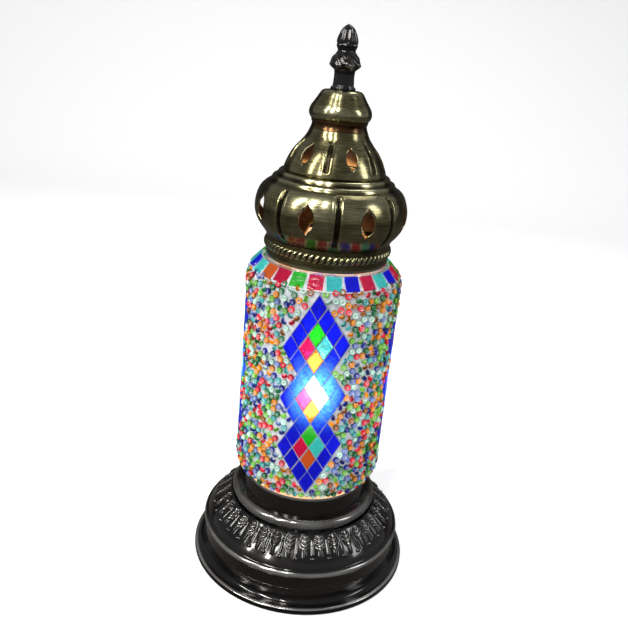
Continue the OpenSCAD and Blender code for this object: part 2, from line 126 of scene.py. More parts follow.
panel_round("strip_one", -58, 38, 1.3, 0.08, 0.8, 7, (1, 1, 0.95))
panel_round("strip_two", -34, 42, 1.3, 0.1, 0.8, 10, (1, 1, 0.95))
panel_round("strip_three", -12, 50, 1.3, 0.06, 0.5, 4, (1, 1, 0.97))
panel_round("panel_right", 75, 30, 1.3, 0.25, 0.6, 3, (0.95, 0.98, 1))
panel_round("panel_back", 160, 60, 1.3, 0.5, 0.5, 6)

scene.world = bpy.data.worlds.new("room")
scene.world.use_nodes = True
sky = scene.world.node_tree.nodes["Background"]
sky.inputs["Color"].default_value = (0.95, 0.96, 1, 1)
sky.inputs["Strength"].default_value = 0.26


# %% Floor
def floor_finish():
    """Pale and matt; darker for mirror rays, and lit a little of itself for the camera."""
    finish = bpy.data.materials.new("pale_floor")
    finish.use_nodes = True
    tree = finish.node_tree
    shader = tree.nodes["Principled BSDF"]
    shader.inputs["Roughness"].default_value = 0.7
    shader.inputs["Specular IOR Level"].default_value = 0.0
    shader.inputs["Emission Color"].default_value = (1, 1, 1, 1)
    path = tree.nodes.new("ShaderNodeLightPath")
    mix = tree.nodes.new("ShaderNodeMix")
    mix.data_type = "RGBA"
    mix.inputs["A"].default_value = (0.86, 0.86, 0.86, 1)
    mix.inputs["B"].default_value = (0.09, 0.085, 0.08, 1)
    tree.links.new(path.outputs["Is Glossy Ray"], mix.inputs["Factor"])
    tree.links.new(mix.outputs["Result"], shader.inputs["Base Color"])
    glow = tree.nodes.new("ShaderNodeMath")
    glow.operation = "MULTIPLY"
    glow.inputs[1].default_value = 0.42
    tree.links.new(path.outputs["Is Camera Ray"], glow.inputs[0])
    tree.links.new(glow.outputs[0], shader.inputs["Emission Strength"])
    return finish


def plain_floor():
    """A square sheet six metres wide just under the lamp, curving up at the back."""
    across, along = np.meshgrid(np.linspace(-3, 3, 40), np.linspace(0, 1, 60))
    y = -2.2 + 4.4 * along
    z = np.clip(y - 1.2, 0, None) ** 2 * 1.6 - 0.0002
    mesh = bpy.data.meshes.new("floor")
    rows, columns = across.shape
    first = (np.arange(rows - 1)[:, None] * columns + np.arange(columns - 1)).ravel()
    quads = np.stack([first, first + 1, first + columns + 1, first + columns], -1)
    mesh.from_pydata(np.stack([across, y, z], -1).reshape(-1, 3).tolist(), [], quads.tolist())
    mesh.shade_smooth()
    sheet = bpy.data.objects.new("floor", mesh)
    scene.collection.objects.link(sheet)
    sheet.data.materials.append(floor_finish())


plain_floor()

# %% [markdown]
# ## Turning a mesh out of arrays
#
# Nearly every piece here is a grid of points bent into shape: rows climb, columns go round.
# One helper lays the faces over such a grid, and another puts arrays straight into a mesh.
# A `relief` value can ride on every point: 0 deep in a groove, 1 on a raised edge. The
# metal finishes use it for the dark patina and the rubbed highlights. On the beads it carries
# painted shading instead: painted shade at the outer edge, painted light in the hole.

# %% Grid and mesh helpers
def grid_quads(rows, columns, close_rows=False, close_columns=True):
    """Quads of a rows by columns grid, joined up at the ends that are closed."""
    r = np.arange(rows if close_rows else rows - 1)[:, None]
    c = np.arange(columns if close_columns else columns - 1)[None]
    here, there = r * columns, (r + 1) % rows * columns
    following = (c + 1) % columns
    return np.stack([here + c, here + following, there + following, there + c], -1).reshape(-1, 4)


def solid(name, points_mm, faces, body, node=(), relief=None, smooth_to=35):
    """A mesh piece from points in mm and equal-sided faces, riding on a body.
    Edges sharper than smooth_to degrees stay crisp."""
    faces = np.asarray(faces)
    mesh = bpy.data.meshes.new(name)
    mesh.vertices.add(len(points_mm))
    mesh.vertices.foreach_set("co", (np.asarray(points_mm) * MM).astype(np.float32).ravel())
    mesh.loops.add(faces.size)
    mesh.loops.foreach_set("vertex_index", faces.ravel().astype(np.int32))
    mesh.polygons.add(len(faces))
    mesh.polygons.foreach_set("loop_start", np.arange(0, faces.size, faces.shape[1], dtype=np.int32))
    mesh.polygons.foreach_set("use_smooth", np.ones(len(faces), bool))
    if relief is not None:
        layer = mesh.attributes.new("relief", "FLOAT", "POINT")
        layer.data.foreach_set("value", np.asarray(relief, np.float32).ravel())
    mesh.update(calc_edges=True)
    mesh.validate()
    mesh.set_sharp_from_angle(angle=math.radians(smooth_to))
    piece = bpy.data.objects.new(name, mesh)
    scene.collection.objects.link(piece)
    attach(piece, body)
    if node:
        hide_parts(*([node] if isinstance(node, str) else node))
    print(f"{name}: {len(faces)} faces")
    return piece


def round_axis(radius, turn, height):
    """Points at the given radius, angle from the front and height."""
    return np.stack([radius * np.sin(turn), -radius * np.cos(turn), height + 0 * turn], -1)


# %% [markdown]
# ## Outlines
#
# A spun or cast piece is an outline turned about the axis. The outlines here are a few given
# points with a smooth curve through them, and arcs for the rolled rings. The curve is
# Catmull-Rom: between two points it leaves each in the direction of its two neighbours.

# %% Outline helpers
def smooth_line(points, steps=8):
    """Catmull-Rom curve through the points, with `steps` steps between neighbours."""
    p = np.asarray(points, float)
    a, b = np.vstack([p[:1], p[:-2]]), p[:-1]
    c, d = p[1:], np.vstack([p[2:], p[-1:]])
    t = (np.arange(steps) / steps)[None, :, None]
    a, b, c, d = (v[:, None] for v in (a, b, c, d))
    curve = (2 * b + (c - a) * t + (2 * a - 5 * b + 4 * c - d) * t**2 + (3 * b - a - 3 * c + d) * t**3) / 2
    return np.vstack([curve.reshape(-1, 2), p[-1:]])


def arc(middle, radius, start, end, steps=10):
    """Points of an arc, with its angles in degrees from outwards, counted upwards."""
    t = np.radians(np.linspace(start, end, steps + 1))
    return np.array(middle) + radius * np.stack([np.cos(t), np.sin(t)], -1)


def outward(line):
    """Unit normals of a climbing line, pointing away from the axis."""
    along = np.gradient(line, axis=0)
    along /= np.linalg.norm(along, axis=1, keepdims=True) + 1e-9
    return np.stack([along[:, 1], -along[:, 0]], -1)


def line_relief(line, strength=1.2):
    """Half, plus the line's bending: more than half on a ridge and less in a groove."""
    normal = outward(line)
    step = np.linalg.norm(np.gradient(line, axis=0), axis=1) + 1e-6
    turn = np.gradient(normal, axis=0)
    along = np.stack([-normal[:, 1], normal[:, 0]], -1)
    bend = (turn * along).sum(1) / step
    kernel = np.ones(5) / 5
    return np.clip(0.5 + strength * np.convolve(np.pad(bend, 2, "edge"), kernel, "valid"), 0, 1)


def even_line(line, step):
    """The same line cut again at even distances of about `step` mm."""
    run = np.concatenate([[0], np.cumsum(np.linalg.norm(np.diff(line, axis=0), axis=1))])
    marks = np.linspace(0, run[-1], max(3, int(run[-1] / step)))
    return np.stack([np.interp(marks, run, line[:, 0]), np.interp(marks, run, line[:, 1])], -1)


def turned(name, line, wall, body, node, columns=160, step=0.6):
    """A sheet of the given wall under the line, turned round the axis: the line climbs
    outside, its inset copy comes down inside, and the loop is closed at both rims."""
    outer = even_line(np.asarray(line, float), step)
    inner = (outer - outward(outer) * wall)[::-1]
    loop = np.vstack([outer, inner])
    relief = np.concatenate([line_relief(outer), np.full(len(inner), 0.4)])
    turn = np.linspace(0, 2 * math.pi, columns, endpoint=False)
    points = round_axis(loop[:, :1], turn[None], loop[:, 1:])
    return solid(name, points.reshape(-1, 3), grid_quads(len(loop), columns, close_rows=True),
                 body, node, np.repeat(relief, columns))


# %% [markdown]
# ## The base
#
# The base is cast and lacquered nearly black. From the table up it has a thin rolled lip, a
# dark cove, a plain skirt with a faint scalloped band, a rounded ridge, and a sloping belt
# of 36 pointed leaves with a small boss between each pair. The belt is its own fine
# grid: its height over the plain cone is a sum of smooth bumps, one for each feature.

# %% Plain parts of the cast bell
BELL_LIP = np.vstack([[[73.2, 0.6], [75, 0.6]], arc((73.6, 2.9), 1.4, 0, 90)])
BELL_WALL = smooth_line([
    (71.2, 4.3), (69.1, 5.1), (67.9, 7), (67.7, 10), (68, 16), (68.2, 21), (68.4, 23.4),
    (68.9, 24.8), (68.5, 26.3), (67.4, 27.3), (66.4, 27.7), (65.7, 28.9), (64.3, 30.9),
    (62.4, 33.2), (60.4, 35.3), (57.2, 38.1),
    (54.2, 40.7), (51.8, 43), (50.2, 44.9),
])
BELT_FOOT = 31.9


def cast_bell():
    """The bell below its leaf belt: outer line up to the belt, then down inside the wall."""
    wall = BELL_WALL[BELL_WALL[:, 1] <= BELT_FOOT + 1]
    line = np.vstack([BELL_LIP, wall])
    inner = (BELL_WALL - outward(BELL_WALL) * 1.8)[::-1]
    inner = inner[(inner[:, 1] > 4.4) & (inner[:, 1] < 42.8)]
    outer = even_line(line, 0.5)
    loop = np.vstack([outer, [[wall[-1, 0] - 1.2, wall[-1, 1] - 0.2]], inner, [[67, 2.8], [73.2, 2.8]]])
    columns = 288
    turn = np.linspace(0, 2 * math.pi, columns, endpoint=False)
    radius = np.repeat(loop[:, :1], columns, 1)
    height = np.repeat(loop[:, 1:], columns, 1)
    # A shallow band of scallops on the skirt: half rounds hanging from a line.
    cell = np.abs((turn * 72 / (2 * math.pi)) % 1 - 0.5) * 2
    hang = 17.5 - 2.6 * np.sqrt(1 - cell**2)
    outside = (np.arange(len(loop)) < len(outer))[:, None]
    scallop = np.exp(-(((height - hang[None]) / 0.5) ** 2)) * outside
    radius = radius + 0.22 * scallop
    relief = np.concatenate([line_relief(outer), np.full(len(loop) - len(outer), 0.4)])
    # Painted shade: the lip below 3.6 mm takes the darkest tone, standing in for the dark table it would
    # reflect.
    relief = np.where(loop[:, 1] < 3.6, 0, relief)[:, None] + 0.15 * scallop
    points = round_axis(radius, turn[None], height)
    return solid("cast_bell", points.reshape(-1, 3), grid_quads(len(loop), columns, close_rows=True),
                 "base", "base_bell", relief)


bell = cast_bell()

# %% Leaf belt
LEAVES = 36


def bump(distance):
    """A smooth hill: 1 at the middle, 0 from distance 1 outwards."""
    return np.clip(1 - distance**2, 0, None) ** 2


def belt_relief(across, up):
    """Height in mm at `across` (-1 to 1 over one leaf's cell) and `up` (0 to 1 up the belt).
    A veined leaf that narrows to a long tail, thin stalks between, and bosses at the foot."""
    spread = np.sin(np.clip((up - 0.38) / 0.6, 0, 1) * math.pi) ** 0.7
    width = 0.2 + 0.5 * spread
    leaf = np.clip(1 - np.abs(across) / width, 0, 1)
    inside = np.clip((up - 0.06) / 0.2, 0, 1) * np.clip((0.97 - up) / 0.05, 0, 1)
    body = 0.95 * leaf**0.5 * inside
    crown = np.clip((up - 0.4) / 0.1, 0, 1) * (leaf > 0.04)
    midrib = 0.4 * np.exp(-((across / 0.07) ** 2)) * inside
    vein = np.sin((up * 6.4 - np.abs(across) * 1.5) * 2 * math.pi)
    veins = 0.3 * vein * crown * inside
    between = np.minimum(np.abs(across - 1), np.abs(across + 1))
    boss = 1.25 * bump(np.hypot(between / 0.26, (up - 0.1) / 0.07))
    stalk = 0.5 * np.clip(1 - between / (0.2 - 0.12 * up), 0, 1) ** 0.6
    stalk = stalk * np.clip((up - 0.19) / 0.06, 0, 1) * np.clip((0.8 - up) / 0.08, 0, 1)
    bead = 0.4 * bump((up - 0.99) / 0.025)
    return body + midrib + veins + boss + stalk + bead


def leaf_belt():
    """The belt's grid follows the bell's line, raised square to it by the relief."""
    line = BELL_WALL[(BELL_WALL[:, 1] >= BELT_FOOT - 0.2) & (BELL_WALL[:, 1] <= 45)]
    line = even_line(line, 0.3)
    columns = LEAVES * 22
    turn = np.linspace(0, 2 * math.pi, columns, endpoint=False)
    up = np.linspace(-0.04, 1.02, len(line))[:, None]
    across = (turn * LEAVES / (2 * math.pi)) % 1 * 2 - 1
    raised = belt_relief(across[None] + 0 * up, up + 0 * across[None])
    face = line[:, None] + outward(line)[:, None] * raised[..., None]
    back = line[::-1, None] - outward(line)[::-1, None] * 1.4 + 0 * face
    loop = np.vstack([face, back])
    points = round_axis(loop[..., 0], turn[None], loop[..., 1])
    relief = np.vstack([0.25 + 0.6 * raised, np.full(raised.shape, 0.4)])
    return solid("leaf_belt", points.reshape(-1, 3), grid_quads(len(loop), columns, close_rows=True),
                 "base", "base_bell", relief, smooth_to=60)


belt = leaf_belt()

# %% Moulding and cup
RING_LINE = np.vstack([[[40, 44.9]], arc((46.4, 48.5), 3.6, -88, 92, 24), [[43.6, 52.3], [43.4, 52.4]]])
ring_moulding = turned("ring_moulding", RING_LINE, 1.2, "base", "bead_ring")
CUP_LINE = np.vstack([
    [[6, 50.2], [42.6, 50.2]],
    smooth_line([(43.3, 50.6), (43.2, 53), (42.7, 57), (42.4, 61), (42.35, 64.3)]),
    arc((41.95, 64.65), 0.55, 0, 90, 6),
])
glass_cup = turned("glass_cup", CUP_LINE, 1.1, "base", "base_cup")

# %% [markdown]
# ## The brass cap
#
# The cap is five spun pieces on one rod. Both domes are pierced with a ring of ogee holes
# and pressed with upright grooves midway between them. A hole has to have a clean edge, so
# the grid round each hole isn't cut: it is a patch whose rings run from the hole's outline
# out to a rectangle, and the rectangle's points are the same as the plain grid's.

# %% Pierced dome
def ogee_outline(width, height, count):
    """Pointed outline, from its top point round by the right: a quarter drawn as a smooth
    line and mirrored. `count` points to each quarter."""
    quarter = smooth_line([(0, 0.5), (0.12, 0.37), (0.4, 0.22), (0.5, 0)]) * (width, height)
    run = np.concatenate([[0], np.cumsum(np.linalg.norm(np.diff(quarter, axis=0), axis=1))])
    marks = np.linspace(0, run[-1], count, endpoint=False)
    top = np.stack([np.interp(marks, run, quarter[:, 0]), np.interp(marks, run, quarter[:, 1])], -1)
    side = np.array([[width / 2, 0]])
    right = np.vstack([top, side, (top * (1, -1))[:0:-1]])
    return np.vstack([right, (right * (-1, -1))])


def grooved(turn, height, radius, cell, first, depth, half_width, foot, top):
    """Depth in mm of the pressed grooves: flat bottomed, with soft sides and round ends."""
    off = ((turn - first) % cell - cell / 2) * radius
    side = np.clip((half_width - np.abs(off)) / 0.9 + 0.5, 0, 1)
    ends = np.clip((height - foot) / 1.6, 0, 1) * np.clip((top - height) / 1.6, 0, 1)
    mask = side**2 * (3 - 2 * side) * ends**2 * (3 - 2 * ends)
    lips = np.exp(-(((np.abs(off) - half_width - 0.75) / 0.45) ** 2)) * ends
    return depth * mask - 0.22 * lips


def pierced_dome(name, line, holes, first_deg, hole_mid, hole_size, patch, groove, body, node, step=0.7):
    """A spun dome: plain grid, with a ringed patch round each hole. `patch` is the half width
    in degrees and the lowest and highest z of the patches. The wall goes inwards, and its
    inside takes the second finish."""
    line = even_line(line, step)
    normal, shade = outward(line), line_relief(line)
    half = math.radians(patch[0])
    low, high = (int(np.abs(line[:, 1] - z).argmin()) for z in patch[1:])
    high += (high - low) % 2
    across = 16
    cell = 2 * math.pi / holes
    plain = np.linspace(half, cell - half, 26)[1:-1]
    local = np.concatenate([np.linspace(-half, half, across + 1), plain])
    columns = len(local) * holes
    turn = (math.radians(first_deg) + np.arange(holes)[:, None] * cell + local[None]).ravel()
    rows = np.arange(len(line))[:, None]
    u, v = np.broadcast_to(turn[None], (len(line), columns)), np.broadcast_to(rows, (len(line), columns))
    quads = grid_quads(len(line), columns)
    place = np.arange(len(line) - 1)[:, None], np.arange(columns)[None]
    in_patch = (place[0] >= low) & (place[0] < high) & (place[1] % len(local) < across)
    quads = quads[~in_patch.ravel()]
    tall = (high - low) // 2
    outline = ogee_outline(*hole_size, across // 2 + tall)
    heights = line[low:high + 1, 1]
    hole_row = low + np.interp(hole_mid + outline[:, 1], heights, np.arange(len(heights)))
    hole_radius = np.interp(hole_row, np.arange(len(line)), line[:, 0])
    hole_turn = outline[:, 0] / hole_radius
    steps_up, steps_on = 2 * tall, across
    top = np.full(across // 2, high)
    top_right = np.stack([np.linspace(0, half, across // 2, endpoint=False), top], -1)
    right = np.stack([np.full(steps_up, half), np.linspace(high, low, steps_up, endpoint=False)], -1)
    foot = np.stack([np.linspace(half, -half, steps_on, endpoint=False), np.full(steps_on, low)], -1)
    left = np.stack([np.full(steps_up, -half), np.linspace(low, high, steps_up, endpoint=False)], -1)
    top_left = np.stack([np.linspace(-half, 0, across // 2, endpoint=False), top], -1)
    rim = np.vstack([top_right, right, foot, left, top_left])
    hole = np.stack([hole_turn, hole_row], -1)
    rings = 9
    t = (np.linspace(0, 1, rings) ** 1.2)[:, None, None]
    ring = rim[None] * (1 - t) + hole[None] * t
    ring_u = math.radians(first_deg) + np.arange(holes)[:, None, None] * cell + ring[None, ..., 0]
    ring_v = np.broadcast_to(ring[None, ..., 1], ring_u.shape)
    patch_quads = grid_quads(rings, len(rim))
    patch_quads = patch_quads[:, ::-1][None] + (np.arange(holes) * rings * len(rim))[:, None, None]
    quads = np.vstack([quads, patch_quads.reshape(-1, 4) + u.size])
    u, v = np.concatenate([u.ravel(), ring_u.ravel()]), np.concatenate([v.ravel(), ring_v.ravel()])
    index = np.arange(len(line))
    radius, height = np.interp(v, index, line[:, 0]), np.interp(v, index, line[:, 1])
    push = grooved(u, height, radius, cell, math.radians(first_deg), *groove)
    radius = radius - push * np.interp(v, index, normal[:, 0])
    height = height - push * np.interp(v, index, normal[:, 1])
    relief = np.clip(np.interp(v, index, shade) - 0.5 * np.clip(push, -0.5, 1), 0, 1)
    piece = solid(name, round_axis(radius, u, height), quads, body, node, relief, smooth_to=50)
    work = bmesh.new()
    work.from_mesh(piece.data)
    bmesh.ops.remove_doubles(work, verts=work.verts, dist=0.00002)
    bmesh.ops.recalc_face_normals(work, faces=work.faces)
    work.to_mesh(piece.data)
    work.free()
    wall = piece.modifiers.new("sheet", "SOLIDIFY")
    wall.thickness, wall.offset, wall.material_offset = 0.9 * MM, -1, 1
    return piece


# %% Lower and upper dome
LOWER_LINE = np.vstack([
    smooth_line([(38.6, 229.9), (38.9, 231.4), (40.2, 233.2), (43.9, 238.2), (46.1, 243.3),
                 (46.7, 247.8), (46.2, 252.6), (44.6, 257.4), (42.4, 260.8), (39.9, 262.8), (38, 263.9)]),
    arc((35.9, 265.1), 1.5, 12, 120), arc((32.5, 268.3), 1.5, 12, 120),
    [[30.6, 270.3], [27, 270.8]],
])
UPPER_LINE = smooth_line([(31, 270.4), (30.7, 272.2), (29.7, 275), (27.9, 279), (25.3, 283.2),
                          (21.9, 287.2), (18.9, 291.2), (17.1, 295.2)])
lower_dome = pierced_dome("lower_brass_dome", LOWER_LINE, 8, 28.2, 248.5, (9.4, 19), (11, 236.4, 260.6),
                          (0.95, 1.55, 233.5, 263), "cap", "lower_dome")
upper_dome = pierced_dome("upper_brass_dome", UPPER_LINE, 6, 20.6, 281.5, (7.2, 12.8), (14, 273.6, 289.6),
                          (0.9, 1.3, 273, 290.5), "cap", "upper_dome", step=0.55)

# %% Collar, neck ring and crown
collar = turned("brass_collar", [[37.1, 217.6], [38.3, 217.6], [38.3, 229.9]], 1.2, "cap", "cap_collar")
NECK_LINE = smooth_line([(17, 295.2), (16.8, 296), (16.3, 298), (16.9, 299.8), (17, 300.6)])
neck_ring = turned("neck_ring", NECK_LINE, 3, "cap", "neck_spacer", columns=96)
CROWN_LINE = np.vstack([
    smooth_line([(16.6, 300.6), (17.6, 301.4), (18.4, 303), (18.6, 304.8), (17.9, 307.4), (16, 310.4),
                 (14.1, 313.3), (12.7, 315.6), (11.4, 316.9), (9.6, 317.4)]), [[3.2, 317.4]],
])
crown = turned("brass_crown", CROWN_LINE, 1, "cap", "crown_cup", columns=128, step=0.5)

# %% [markdown]
# ## The rope ring
#
# A half-round ring of 66 twisted strands. Its section is a half circle, and the circle's
# radius dips where two strands meet. The dip moves sideways as it goes over the ring, which
# gives the twist.

# %% Rope ring
def rope_ring(strands=66, lean=-1.1):
    """Half-round tube about the collar, with radius lowered between the leaning strands."""
    columns = strands * 12
    turn = np.linspace(0, 2 * math.pi, columns, endpoint=False)[None]
    over = np.linspace(-math.pi / 2, math.pi / 2, 17)[:, None]
    phase = (turn * strands / (2 * math.pi) + lean * over / math.pi) % 1
    crest = np.clip(1 - np.abs(2 * phase - 1) ** 1.6 * 1.25, 0, 1) ** 0.6
    dip = (1 - crest) * np.cos(over) ** 0.5
    out = 1.85 * np.cos(over) ** 0.8 - 1.0 * dip
    radius = 38.0 + np.clip(out, 0, None)
    height = 225.4 + 2.6 * np.sin(over) * (1 - 0.04 * dip)
    back = round_axis(np.full((1, columns), 37.6), turn, np.array([[228.0]]))
    front = round_axis(np.full((1, columns), 37.6), turn, np.array([[222.8]]))
    points = np.concatenate([front, round_axis(radius, turn, height), back])
    edge = np.zeros((1, columns))
    relief = np.concatenate([edge, 0.1 + 0.8 * crest * np.cos(over) ** 0.3, edge])
    return solid("rope_trim", points.reshape(-1, 3), grid_quads(len(points), columns, close_rows=True),
                 "cap", "rope_ring", relief, smooth_to=70)


rope = rope_ring()

# %% [markdown]
# ## The finial
#
# A black cast finial: a stem, a bulb wrapped in leaves that swirl upwards, a thin ring
# and a bud of pointed petals. It is one turned surface whose radius also depends on the
# angle: each leaf is a ridge that turns as it climbs.

# %% Finial
def finial_shape():
    """Turned outline, plus leaf ridges on the bulb and petal ridges on the bud."""
    line = even_line(np.vstack([[[3.2, 317.45], [7.1, 317.45]], smooth_line([
        (7.4, 318), (7.2, 318.9), (6.3, 319.6), (6.1, 321.4), (5.9, 325), (6.2, 328), (7.6, 329.6),
        (8.3, 332), (7.7, 334.6), (6, 337), (5.2, 338.8), (5.7, 340.2), (6.3, 341.4), (5.9, 342.6),
        (5.6, 345), (4.6, 347.8), (3.1, 350.6), (1, 352.7)]), [[0.25, 352.95]]]), 0.2)
    columns = 144
    turn = np.linspace(0, 2 * math.pi, columns, endpoint=False)[None]
    z = line[:, 1:]
    on_bulb = np.clip((z - 328.6) / 1.4, 0, 1) * np.clip((338.6 - z) / 2.5, 0, 1)
    swirl = (turn * 7 / (2 * math.pi) + 0.012 * (z - 329) ** 2) % 1
    leaf = 1 - np.abs(2 * swirl - 1) ** 1.8
    rib = np.cos(swirl * 6 * math.pi)
    curl = 0.6 * np.exp(-(((z - 330.6 - 1.2 * np.abs(2 * swirl - 1)) / 0.8) ** 2))
    on_bud = np.clip((z - 342.4) / 0.8, 0, 1) * np.clip((352.9 - z) / 2.5, 0, 1)
    petal_turn = (turn * 6 / (2 * math.pi)) % 1
    petal = 1 - np.abs(2 * petal_turn - 1) ** 2
    groove = np.exp(-(((petal_turn - 0.5) / 0.07) ** 2))
    knob = np.exp(-(((z - 341.4) / 0.8) ** 2)) * np.cos(turn * 6)
    push = on_bulb * (1.1 * leaf - 0.6 + 0.14 * rib + curl)
    push = push + on_bud * (0.85 * petal - 0.35 - 0.45 * groove) + 0.3 * knob
    radius = np.clip(line[:, :1] + push, 0.2, None)
    points = round_axis(radius, turn, np.broadcast_to(z, radius.shape))
    relief = 0.35 + 0.5 * np.clip(push, -0.7, 1)
    rows = len(line)
    tip = np.array([[0, 0, 353.0]])
    everything = np.vstack([points.reshape(-1, 3), tip])
    quads = grid_quads(rows, columns)
    last = (rows - 1) * columns + np.arange(columns)
    top = np.full(columns, rows * columns)
    fan = np.stack([last, np.roll(last, -1), top, top], -1)
    return everything, quads, fan, np.append(relief.ravel(), 0.9)


def cast_finial():
    """The finial's mesh: the grid, closed at the tip by triangles and open into its bore."""
    points, quads, fan, relief = finial_shape()
    mesh = bpy.data.meshes.new("cast_finial")
    mesh.from_pydata((points * MM).tolist(), [], quads.tolist() + fan[:, :3].tolist())
    mesh.shade_smooth()
    layer = mesh.attributes.new("relief", "FLOAT", "POINT")
    layer.data.foreach_set("value", relief.astype(np.float32))
    work = bmesh.new()
    work.from_mesh(mesh)
    ends = [e for e in work.edges if e.is_boundary]
    bmesh.ops.holes_fill(work, edges=ends, sides=200)
    bmesh.ops.recalc_face_normals(work, faces=work.faces)
    work.to_mesh(mesh)
    work.free()
    mesh.set_sharp_from_angle(angle=math.radians(65))
    piece = bpy.data.objects.new("cast_finial", mesh)
    scene.collection.objects.link(piece)
    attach(piece, "finial")
    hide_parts("finial")
    return piece


finial = cast_finial()

# %% [markdown]
# ## The glass shade
#
# Clear blown glass: a narrow foot in the cup, a cylinder, a round shoulder and an open neck
# under the cap. Only a thin line of it stays bare at each end; the rest is under grout,
# tiles and beads.

# %% Shade outline and glass
GLASS_R, GROUT, SHOULDER_R, SHOULDER_Z = 46.0, 1.2, 14.0, 202.0
GLASS_FOOT = smooth_line([(40, 53.3), (40, 64.5), (41, 67.6), (43, 70.6), (44.8, 73.8), (45.8, 78), (46, 83)])
SHOULDER = arc((GLASS_R - SHOULDER_R, SHOULDER_Z), SHOULDER_R, 0, 69, 24)
GLASS_LINE = np.vstack([GLASS_FOOT, SHOULDER, smooth_line([(36.5, 215.8), (36.3, 217), (36.3, 227)])])
shade = turned("blown_shade", GLASS_LINE, 2.4, "base", "glass_shade", columns=144, step=1.2)

# %% [markdown]
# ## Panels of rhombus tiles
#
# Four tall panels stand round the shade. Each has 15 rows of rhombus tiles that make three
# linked diamonds: blue round the outside, and green, crimson, turquoise and orange within.
# A tile is a flat slip of hand cut glass, so each is turned and sized a little differently.
# The layout is the CAD model's: rows one lattice step apart, each rising a little to the
# right, and a lean over the height.

# %% Panel layout
PANEL_TOP, PANEL_FOOT, PITCH, GAP = 207.5, 74.4, 10.2, 0.4
HALF_H = (PANEL_TOP - PANEL_FOOT - 14 * GAP) / 16
ROW = HALF_H + GAP
TILE_FIT = 0.05
TILE_BACK = GLASS_R + GROUT + TILE_FIT
TILE_T = 1.65
TILE_MID = TILE_BACK + TILE_T / 2
PANEL_TURN, PANEL_LEAN, ROW_RISE = math.radians(2), -3.1, 0.13


def row_count(k):
    """Tiles in row k from the top: 1 to 4, then 3 2 3 4 3 2 3 4 and back to 1."""
    return np.where(k < 4, k + 1, np.where(k > 10, 15 - k, 2 + np.abs((k + 1) % 4 - 2)))


def lean_at(z):
    """Sideways drift of a panel at height z."""
    return PANEL_LEAN * (z - PANEL_FOOT) / (PANEL_TOP - PANEL_FOOT)


def panel_cells():
    """Sideways place, height and colour of the 40 tiles of one panel."""
    k = np.repeat(np.arange(15), 4)
    i = np.tile(np.arange(4), 15)
    n = row_count(k)
    k, i, n = k[i < n], i[i < n], n[i < n]
    z = PANEL_TOP - HALF_H - ROW * k
    across = (i - (n - 1) / 2) * PITCH
    x = across + lean_at(z)
    z = z + across * ROW_RISE
    colour = np.full(len(k), "blue", dtype="<U10")
    colour[(n == 3) & (i == 1) & (k % 4 == 2)] = "green"
    colour[(n == 3) & (i == 1) & (k % 4 == 0)] = "orange"
    colour[(n == 4) & (i == 1)] = "crimson"
    colour[(n == 4) & (i == 2)] = "turquoise"
    return x, z, colour


CELL_X, CELL_Z, CELL_COLOUR = panel_cells()
print("tiles in a panel:", len(CELL_X), "of them blue:", int((CELL_COLOUR == "blue").sum()))


# %% Tile slabs
def slabs(corners, height, edge=0.22):
    """Slabs from flat outlines of shape (tiles, 4, 2): back ring, side ring and a smaller
    front ring, so that the front edges are broken. Gives local points and quads."""
    tiles = len(corners)
    middle = corners.mean(1, keepdims=True)
    reach = np.linalg.norm(corners - middle, axis=2, keepdims=True)
    inner = middle + (corners - middle) * (1 - edge / reach * 1.6)
    deep = np.stack([np.zeros(tiles), np.full(tiles, height - edge), np.full(tiles, height)], 1)
    rings = np.stack([corners, corners, inner], 1)
    points = np.concatenate([rings, np.repeat(deep[:, :, None, None], 4, 2)], -1)
    ring = np.arange(4)
    after = (ring + 1) % 4
    sides = np.vstack([np.stack([a + ring, a + after, a + 4 + after, a + 4 + ring], -1) for a in (0, 4)])
    faces = np.vstack([sides, [[8, 9, 10, 11]], [[3, 2, 1, 0]]])
    quads = faces[None] + (np.arange(tiles) * 12)[:, None, None]
    return points.reshape(tiles, 12, 3), quads.reshape(-1, 4)


def wobble(outlines, amount):
    """Hand cut look: every corner moved a little, each by its own amount."""
    return outlines + rng.uniform(-amount, amount, outlines.shape)


def on_cylinder(local, turn, z, back):
    """Flat pieces (x across, y up, depth out) stood on tangent planes of the cylinder."""
    x, y, deep = local[..., 0], local[..., 1], local[..., 2] + back
    turn, z = turn[:, None], z[:, None]
    sin, cos = np.sin(turn), np.cos(turn)
    return np.stack([deep * sin + x * cos, -deep * cos + x * sin, z + y], -1)


def panel_tiles(colour):
    """All rhombus tiles of one colour, on the four panels, as one piece."""
    pick = CELL_COLOUR == colour
    turn = (PANEL_TURN + np.arange(4)[:, None] * math.pi / 2 + CELL_X[pick][None] / TILE_MID).ravel()
    z = np.tile(CELL_Z[pick], 4)
    half_w, tall = PITCH / 2 - 0.3, HALF_H - 0.04
    rise = half_w * ROW_RISE
    rhomb = np.array([[0, -tall], [half_w, rise], [0, tall], [-half_w, -rise]])
    size = rng.uniform(0.96, 1.0, (len(z), 1, 1))
    shift = rng.uniform(-0.16, 0.16, (len(z), 1, 2))
    outlines = wobble(rhomb[None] * size + shift, 0.14)
    local, quads = slabs(outlines, TILE_T)
    points = on_cylinder(local, turn, z, TILE_BACK)
    return solid(f"rhombus_glass_{colour}", points.reshape(-1, 3), quads, "base", f"panel_tiles_{colour}",
                 np.repeat(rng.uniform(0, 1, len(z)), 12), smooth_to=25)


COLOURS = ("blue", "crimson", "green", "turquoise", "orange")
rhombus = {colour: panel_tiles(colour) for colour in COLOURS}

# %% [markdown]
# ## Square tiles round the shoulder
#
# Twenty six nearly square tiles lie on the sloping shoulder under the collar. The gaps
# between them are wider at the foot than at the top, because the tiles are square and
# the shoulder narrows.

